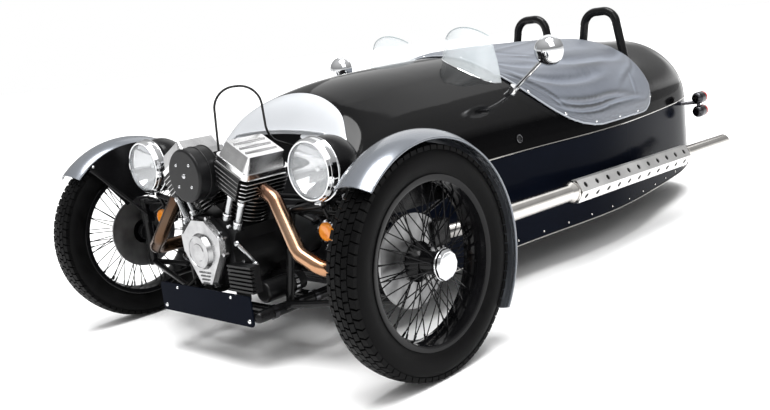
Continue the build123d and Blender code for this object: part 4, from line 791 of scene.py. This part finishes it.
def tyre(name, centre, carcass, tread, count, crown, body, node, gap):
    """Carcass with rows of tread blocks; the crown gives radius, drop and half width."""
    m = Form()
    m.lathe(centre, ACROSS, carcass, 112)
    radius, fall, half = crown
    for y0, y1, start, skew in tread:
        for i in range(count):
            a0 = 2 * math.pi * (i + start) / count
            a1 = a0 + 2 * math.pi / count * (1 - gap)
            corners = [(y0, a0), (y1, a0 + skew), (y1, a1 + skew), (y0, a1)]
            mid_y, mid_a = (y0 + y1) / 2, (a0 + a1 + skew) / 2
            rings = []
            for drop, shrink in ((0.013, 1.05), (0.0008, 1.0), (0.0, 0.93)):
                ring = []
                for y, a in corners:
                    y, a = mid_y + (y - mid_y) * shrink, mid_a + (a - mid_a) * shrink
                    r = radius - fall * (y / half) ** 2 - drop
                    ring.append(centre + r * way_round(a, AHEAD, UP) + y * ACROSS)
                rings.append(ring)
            m.grid(rings, around=True)
            m.faces.append(tuple(len(m.verts) - 4 + k for k in range(4)))
            m.kinds.append(0)
    m.done(name, ["tyre_rubber"], body, node=[node], angle=30)


def laced_wheel(hand, side, centre):
    """Rim, hub, three rows of spokes and the bright cap."""
    wheel = Form()
    out = (0, hand, 0)
    wheel.lathe(centre, out, RIM, 96, closed=True)
    wheel.lathe(centre, out, HUB, 40)
    for hub_r, hub_y, rim_y, lead, count, phase in SPOKES:
        for i in range(count):
            angle = 360 * (i + phase) / count
            start = turned(centre, hub_r, angle, hub_y * hand)
            end = turned(centre, SPOKE_END, angle + (lead if i % 2 else -lead), rim_y * hand)
            wheel.tube([start, end], SPOKE_RADIUS, 6)
            nipple = (end - start).normalized() * NIPPLE_LENGTH
            wheel.tube([end - nipple, end], NIPPLE_RADIUS, 6)
    wheel.kind = 1
    wheel.lathe(centre, out, ROUND_CAP, 40)
    wheel.lathe(centre, out, TEN_SIDED_CAP, 10)
    wheel.done(
        f"laced_wheel_{side}", ["wheel_black", "chrome_trim"], f"road_wheel_{side}",
        node=[f"wire_wheel_{side}"], angle=32,
    )


def guard_edges(hand, side, centre):
    """Rolled edges on the mudguard."""
    guard = Form()
    for y in (-0.068, 0.068):
        arc = [46 + 171 * k / 64 for k in range(65)]
        guard.tube([turned(centre, 0.3565, a, y * hand) for a in arc], 0.0034, 8)
    guard.done(f"guard_edges_{side}", ["grey_paint"], f"upright_{side}")


def stay_bolts(hand, side, centre):
    heads = Form()
    for a in (58, 100, 146):
        heads.dome(turned(centre, 0.347, a, -0.0724 * hand), (0, -hand, 0), 0.006, 0.004)
    heads.done(f"stay_bolts_{side}", ["chrome_trim"], f"upright_{side}")


def disc_bolts(hand, side, centre):
    face = Form()
    for k in range(6):
        face.bolt(turned(centre, 0.054, 60 * k + 20, -0.040 * hand), (0, hand, 0), 0.005, 0.005)
    face.done(f"disc_bolts_{side}", ["fin_edge"], f"road_wheel_{side}")


for hand, side in SIDES:
    centre = Vector((AXLE, WHEEL_Y * hand, WHEEL_Z))
    tyre(
        f"road_tyre_{side}", centre, CARCASS, TREAD, 72, (WHEEL_Z, 0.0042, 0.04),
        f"road_wheel_{side}", f"tyre_front_{side}", 0.17,
    )
    laced_wheel(hand, side, centre)
    guard_edges(hand, side, centre)
    stay_bolts(hand, side, centre)
    disc_bolts(hand, side, centre)
tyre(
    "road_tyre_rear", Vector((REAR_AXLE, 0, REAR_WHEEL_Z)), REAR_CARCASS, REAR_TREAD, 60,
    (REAR_WHEEL_Z, 0.0070, 0.081), "road_wheel_rear", "tyre_rear", 0.16,
)

# Headlamps
DISH_RADIUS, DISH_DEPTH = 0.0845, 0.078


def lamp_reflector(side, place):
    """Dish, bulb and the shield in front of it."""
    bowl = Form()
    steps = (DISH_RADIUS, 0.08, 0.07, 0.055, 0.04, 0.025, 0.012)
    bowl.lathe(place, AHEAD, [(-0.0005 - DISH_DEPTH * (1 - (r / DISH_RADIUS) ** 2), r) for r in steps], 48)
    bowl.kind = 1
    bowl.lathe(place, AHEAD, [(-0.075, 0.011), (-0.045, 0.011), (-0.036, 0.009), (-0.031, 0.0001)], 20)
    bowl.kind = 0
    bowl.lathe(place, AHEAD, [(-0.034, 0.0115), (-0.026, 0.0115), (-0.022, 0.008), (-0.021, 0.0001)], 20)
    bowl.done(f"lamp_reflector_{side}", ["chrome_trim", "lamp_glass"])


def lamp_ring(side, place):
    """Beads on the rim and its clamp screw."""
    ring = Form()
    for ahead, radius, thick in ((-0.021, 0.0985, 0.0026), (0.004, 0.0945, 0.0022)):
        ring.tube(circle(place + ahead * AHEAD, radius, 64), thick, 8, closed=True)
    ring.bolt(place + Vector((-0.008, -0.009, -0.1035)), ACROSS, 0.005, 0.018, 12)
    ring.done(f"lamp_ring_{side}", ["chrome_trim"])


for hand, side in SIDES:
    lamp_at = Vector((AXLE + 0.105, 0.45636 * hand, 0.626))
    lamp_reflector(side, lamp_at)
    lamp_ring(side, lamp_at)

# Engine
CYLINDER_LEAN = math.radians(28)
CRANK_AHEAD, CRANK_Z = 0.075, 0.345
DRUM_Z, DRUM_CLEAR = 0.627, 0.097
FIN_PITCH, BARREL_FINS, HEAD_FINS = 0.014, 7, 5
BARREL_FIN_Z, HEAD_FIN_Z = 0.1605, 0.26175
HEAD_MID, HEAD_HALF_X, HEAD_HALF_Y, HEAD_CUT = 0.016, 0.096, 0.086, 0.014
COVER_Z = 0.352


def on_head(hand, x, y, z):
    """Place in a cylinder's own frame: ahead, outward across its lean, up its bore."""
    across = math.sin(CYLINDER_LEAN) * z + math.cos(CYLINDER_LEAN) * y
    up = math.cos(CYLINDER_LEAN) * z - math.sin(CYLINDER_LEAN) * y
    return Vector((AXLE + CRANK_AHEAD + x, hand * across, CRANK_Z + up))


def clear_of_drum(p, gap):
    return math.hypot(p.y, p.z - DRUM_Z) > gap


def fin_edges(hand, side):
    """Bright edges on the barrel fins and the head fins."""
    edges = Form()
    for i in range(BARREL_FINS):
        angles = np.linspace(0, 2 * math.pi, 40, endpoint=False)
        z = BARREL_FIN_Z + FIN_PITCH * i
        ring = [on_head(hand, 0.0757 * math.cos(a), 0.0757 * math.sin(a), z) for a in angles]
        edges.tube(ring, 0.0014, 5, closed=True)
    front, rear, wide = HEAD_MID + HEAD_HALF_X, HEAD_MID - HEAD_HALF_X, HEAD_HALF_Y
    corner = (
        (front - HEAD_CUT, -wide), (front, HEAD_CUT - wide), (front, wide - HEAD_CUT),
        (front - HEAD_CUT, wide), (rear + HEAD_CUT, wide), (rear, wide - HEAD_CUT),
    )
    for i in range(HEAD_FINS):
        z = HEAD_FIN_Z + FIN_PITCH * i
        ring = [on_head(hand, x, y, z) for x, y in corner]
        keep = [p for p in ring if p.x <= AXLE + 0.150 or clear_of_drum(p, DRUM_CLEAR)]
        edges.tube(keep, 0.0014, 5)
        face = [on_head(hand, 0.1172, y, z) for y in np.linspace(-0.0645, 0.0645, 19)]
        edges.tube([p for p in face if clear_of_drum(p, DRUM_CLEAR + 0.0005)], 0.0020, 6)
    edges.done(f"fin_edges_{side}", ["fin_edge"])


def rocker_trim(hand, side, up):
    """Cover bolts on washers, three ribs and the gasket line."""
    trim = Form()
    for x in (-0.052, 0.084):
        for y in (-0.058, 0.058):
            seat_at = on_head(hand, x, y, COVER_Z)
            trim.bolt(seat_at, up, 0.0075, 0.010, 6)
            trim.lathe(seat_at, up, [(0, 0.0105), (0.002, 0.0105), (0.002, 0.007)], 16)
    for y in (-0.030, 0.0, 0.030):
        rib = ((-0.045, 0.4020), (0.016, 0.4032), (0.077, 0.4020))
        trim.tube([on_head(hand, x, y, z) for x, z in rib], 0.0045, 8)
    octagon = ((1, -0.8), (1, 0.8), (0.8, 1), (-0.8, 1), (-1, 0.8), (-1, -0.8), (-0.8, -1), (0.8, -1))
    loop = [on_head(hand, x * 0.0925 + HEAD_MID, y * 0.0805, 0.3315) for x, y in octagon]
    trim.tube(loop, 0.0026, 6, closed=True)
    trim.done(f"rocker_trim_{side}", ["alloy"])


def spark_plug(hand, side):
    """Plug cap and its lead."""
    plug = Form()
    base = on_head(hand, -0.045, -0.088, 0.285)
    way = (on_head(hand, -0.045, -0.2, 0.32) - base).normalized()
    plug.lathe(base, way, [(0, 0.012), (0.016, 0.012), (0.018, 0.008), (0.045, 0.008), (0.047, 0.0001)], 14)
    bends = ((0.02, 0.04, 0.60), (-0.03, 0.05, 0.56), (-0.08, 0.06, 0.50))
    lead = [Vector((AXLE + x, y * hand, z)) for x, y, z in bends]
    plug.tube([base + way * 0.04, base + way * 0.07, *lead], 0.0042, 8)
    plug.done(f"spark_plug_{side}", ["cable_rubber"])


LOW_COLLAR = ((0.018, 0.0155), (0.022, 0.0165), (0.026, 0.0155), (0.027, 0.011))
HIGH_COLLAR = ((0.088, 0.011), (0.090, 0.0135), (0.100, 0.0135), (0.102, 0.011))


def pushrod_collars(hand, side, up):
    clips = Form()
    for y in (0.015, 0.070):
        for collar in (LOW_COLLAR, HIGH_COLLAR):
            clips.lathe(on_head(hand, 0.093, y, 0.150), up, collar, 20)
    clips.done(f"pushrod_collars_{side}", ["chrome_trim"])


def drum_trim():
    """Screws on the face of the air cleaner and bands round it."""
    drum = Form()
    face = Vector((AXLE + 0.2475, 0, DRUM_Z))
    for k in range(4):
        a = math.radians(45 + 90 * k)
        drum.dome(face + 0.050 * way_round(a, ACROSS, UP), AHEAD, 0.0058, 0.004)
    drum.dome(face, AHEAD, 0.009, 0.005)
    drum.done("drum_screws", ["tube_grey"])
    band = Form()
    for x in (0.166, 0.204):
        band.tube(circle((AXLE + x, 0, DRUM_Z), 0.0882, 64), 0.0018, 6, closed=True)
    band.done("drum_bands", ["engine_black"])


CAM_Z = 0.370
CAM_OUTLINE = ((0.038, 0.484), (0.114, 0.420), (0.110, 0.366), (0.034, 0.252))
CAM_DISC = (
    (-0.002, 0.0560), (0.0022, 0.0545), (0.0022, 0.0505), (-0.001, 0.0490), (0.0005, 0.030), (0.0030, 0.028),
    (0.0045, 0.015), (0.0050, 0.0001),
)


def cam_cover_trim():
    """Bolts round the cover, its turned disc and the ribs at its foot."""
    chest = Form()
    inset = 0.93 * 1.05
    outline = list(CAM_OUTLINE) + [(-y, z) for y, z in reversed(CAM_OUTLINE)]
    for y, z in outline:
        chest.bolt((AXLE + 0.200, y * inset, CAM_Z + (z - CAM_Z) * inset), AHEAD, 0.0068, 0.018, 6)
    chest.lathe((AXLE + 0.2385, 0, 0.372), AHEAD, CAM_DISC, 48)
    for k in range(4):
        z, half = 0.300 - 0.012 * k, 0.030 - 0.005 * k
        chest.tube([(AXLE + 0.2256, -half, z), (AXLE + 0.2262, half, z)], 0.0030, 6)
    chest.done("cam_cover_trim", ["cast_polish"])


# Case bolts: ahead, across, up, radius
CASE_BOLTS = (
    (0.186, 0.122, 0.455, 0.006), (0.186, -0.122, 0.455, 0.006), (0.150, 0.118, 0.330, 0.006),
    (0.206, 0.098, 0.438, 0.005),
)


def case_bolts():
    """Case bolts, the short oil pipe and the band on the oil filter."""
    case = Form()
    for x, y, z, r in CASE_BOLTS:
        case.bolt((AXLE + x, y, z), AHEAD, r, 0.010)
    pipe = ((0.19, 0.150, 0.40), (0.18, 0.178, 0.37), (0.16, 0.196, 0.33))
    case.tube([(AXLE + x, y, z) for x, y, z in pipe], 0.006, 8)
    case.dome((AXLE + 0.19, 0.150, 0.40), AHEAD, 0.011, 0.010)
    case.dome((AXLE + 0.165, 0.198, 0.33), (1, 0.4, 0), 0.011, 0.010)
    case.lathe((AXLE + 0.046, 0.205, 0.234), -AHEAD, [(0, 0.0385), (0.014, 0.0385), (0.018, 0.034)], 24)
    case.done("case_bolts", ["tube_grey"])


# Hose runs: radius, then places ahead, across, up
HOSES = (
    (0.0065, ((0.165, 0.100, 0.300), (0.185, 0.128, 0.262), (0.150, 0.168, 0.236), (0.150, 0.200, 0.236))),
    (0.0050, ((-0.02, 0.04, 0.48), (-0.03, 0.17, 0.47), (-0.03, 0.265, 0.44), (-0.06, 0.30, 0.40))),
    (0.0045, ((0.06, -0.25, 0.30), (0.09, -0.232, 0.24), (0.12, -0.24, 0.205), (0.16, -0.252, 0.198))),
    (0.0050, ((0.15, -0.118, 0.33), (0.176, -0.15, 0.30), (0.16, -0.19, 0.27), (0.10, -0.23, 0.262))),
)


def engine_hoses():
    hoses = Form()
    for radius, places in HOSES:
        a, b, c, d = (Vector((AXLE + x, y, z)) for x, y, z in places)
        line = []
        for k in range(25):
            q = k / 24
            p = 1 - q
            line.append(p**3 * a + 3 * q * p**2 * b + 3 * q * q * p * c + q**3 * d)
        hoses.tube(line, radius, 8)
    hoses.done("engine_hoses", ["cable_rubber"])


for hand, side in SIDES:
    bore = on_head(hand, 0, 0, 1) - on_head(hand, 0, 0, 0)
    fin_edges(hand, side)
    rocker_trim(hand, side, bore)
    spark_plug(hand, side)
    pushrod_collars(hand, side, bore)
drum_trim()
cam_cover_trim()
case_bolts()
engine_hoses()


# Frame and exhaust fittings
def skid_screws():
    screws = Form()
    for across, up, radius, height in ((0.232, 0.168, 0.0075, 0.0045), (0.15, 0.238, 0.0055, 0.0035)):
        for hand in (-1, 1):
            screws.dome((AXLE + 0.2464, across * hand, up), AHEAD, radius, height)
    screws.done("skid_screws", ["chrome_trim"])


def sleeve(half, inner, outer):
    """Profile of a short open collar."""
    return [(-half, inner), (-half, outer), (half, outer), (half, inner)]


def rail_collars():
    collars = Form()
    for hand in (1, -1):
        for x in (0.165, 0.060, -0.010):
            collars.lathe((AXLE + x, 0.254 * hand, 0.178), AHEAD, sleeve(0.009, 0.0188, 0.0225), 24)
    collars.done("rail_collars", ["damper_steel"])


COIL_TURNS, COIL_RADIUS, WIRE_RADIUS = 6, 0.028, 0.0046


def coil_springs():
    """Round wire coils on the front dampers."""
    coils = Form()
    for hand in (1, -1):
        low = Vector((AXLE - 0.017, 0.458 * hand, 0.2280))
        high = Vector((AXLE - 0.017, 0.318 * hand, 0.466))
        u, v, w = basis(high - low)
        start, end = low + w * 0.0435, high - w * 0.0355
        line = []
        for k in range(193):
            share = k / 192
            turn = 2 * math.pi * COIL_TURNS * share
            line.append(start.lerp(end, share) + COIL_RADIUS * way_round(turn, u, v))
        coils.tube(line, WIRE_RADIUS, 8)
    coils.done("coil_springs", ["spring_steel"], node=["springs"])


PIPE_START, PIPE_END = Vector((AXLE - 0.600, 0.575, 0.325)), Vector((AXLE - 2.540, 0.575, 0.280))
REDUCER = ((-0.115, 0.0252), (-0.110, 0.0264), (-0.012, 0.0366), (0.046, 0.0366), (0.047, 0.0350))
SHIELD_BANDS = (1.4385, 0.4725)


def exhaust_fittings():
    """Dark reducer and clamp screw, shield bands and a rolled lip at the tail."""
    fittings = Form()
    way = (PIPE_END - PIPE_START).normalized()
    u, v = basis(way)[:2]
    for hand in (1, -1):
        fittings.kind = 1
        fittings.lathe(mirrored(PIPE_START, hand), way, REDUCER, 40)
        screw = PIPE_START + way * 0.030 + Vector((0, -0.010, -0.0425))
        fittings.bolt(mirrored(screw, hand), (0, hand, 0), 0.005, 0.02)
        fittings.kind = 0
        for short in SHIELD_BANDS:
            fittings.lathe(mirrored(PIPE_END - way * short, hand), way, sleeve(0.006, 0.0418, 0.0442), 40)
        lip_at = mirrored(PIPE_END - way * 0.0015, hand)
        fittings.tube(circle(lip_at, 0.0325, 40, u, v), 0.0019, 8, closed=True)
    fittings.done("exhaust_fittings", ["polished_steel", "damper_steel"])


def lamp_bezels():
    bezels = Form()
    profile = [(-0.004, 0.0298), (-0.004, 0.0315), (0.003, 0.0315), (0.003, 0.0298)]
    for hand in (1, -1):
        bezels.lathe((AXLE + 0.068, 0.45136 * hand, 0.430), AHEAD, profile, 32)
    bezels.done("lamp_bezels", ["chrome_trim"])


skid_screws()
rail_collars()
coil_springs()
exhaust_fittings()
lamp_bezels()

# Floor and sky
FLOOR_HALF = 90
floor_mesh = bpy.data.meshes.new("studio_floor")
floor_corners = [(x * FLOOR_HALF, y * FLOOR_HALF, 0) for x, y in ((-1, -1), (1, -1), (1, 1), (-1, 1))]
floor_mesh.from_pydata(floor_corners, [], [(0, 1, 2, 3)])
floor_mesh.materials.append(
    shade("studio_floor", (0.955, 0.955, 0.955), (0.97, 0.97, 0.97), 0.9, spec=0.03, scale=0.4)
)
floor = bpy.data.objects.new("studio_floor", floor_mesh)
scene.collection.objects.link(floor)

# Sky tones by height: bright horizon, dim band, pale zenith
SKY = ((0.09, 1.0), (0.19, 0.34), (1.0, 0.85))
world = bpy.data.worlds.new("studio")
scene.world = world
world.use_nodes = True
sky = world.node_tree
ramp = add(sky, "ValToRGB")
set_ramp(ramp, [(place, (tone, tone, tone)) for place, tone in SKY])
sky.links.new(parts_of(sky, add(sky, "TexCoord").outputs["Generated"])["Z"], ramp.inputs["Fac"])
sky.links.new(ramp.outputs["Color"], sky.nodes["Background"].inputs["Color"])
sky.nodes["Background"].inputs["Strength"].default_value = 1.0


# Light and camera
def lamp(name, kind, place, target, power, size):
    data = bpy.data.lights.new(name, kind)
    data.energy = power
    if kind == "AREA":
        data.shape = "RECTANGLE"
        data.size, data.size_y = size
    else:
        data.angle = size
    obj = bpy.data.objects.new(name, data)
    scene.collection.objects.link(obj)
    obj.location = place
    obj.rotation_euler = (Vector(target) - Vector(place)).to_track_quat("-Z", "Y").to_euler()


lamp("soft_sky", "SUN", (0.5, 0.8, 6.0), (0, 0, 0), 3.5, math.radians(38))
lamp("key_light", "AREA", (2.2, 3.4, 4.2), (0.4, 0, 0.5), 70, (3.0, 3.0))
lamp("rim_light", "AREA", (-3.5, -1.5, 4.0), (-0.4, 0, 0.7), 70, (6.0, 4.5))

CAMERA_AT = Vector((AXLE + 1.820, 2.426, 0.977))
AZIMUTH, ELEVATION, ROLL = (math.radians(v) for v in (44.45, 10.48, -6.92))
PHOTO_WIDTH, FOCAL_PIXELS, SENSOR = 770, 883.6, 36.0
level = way_round(AZIMUTH, AHEAD, ACROSS)
sight = -way_round(ELEVATION, level, UP)
right = sight.cross(UP).normalized()
above = right.cross(sight)
rolled_right = way_round(ROLL, right, above)
rolled_up = way_round(ROLL, above, -right)
camera = bpy.data.objects.new("camera", bpy.data.cameras.new("camera"))
scene.collection.objects.link(camera)
camera.data.sensor_fit = "HORIZONTAL"
camera.data.sensor_width = SENSOR
camera.data.lens = SENSOR * FOCAL_PIXELS / PHOTO_WIDTH
camera.data.clip_end = 400
turn = Matrix((rolled_right, rolled_up, -sight)).transposed().to_4x4()
camera.matrix_world = Matrix.Translation(CAMERA_AT) @ turn
scene.camera = camera
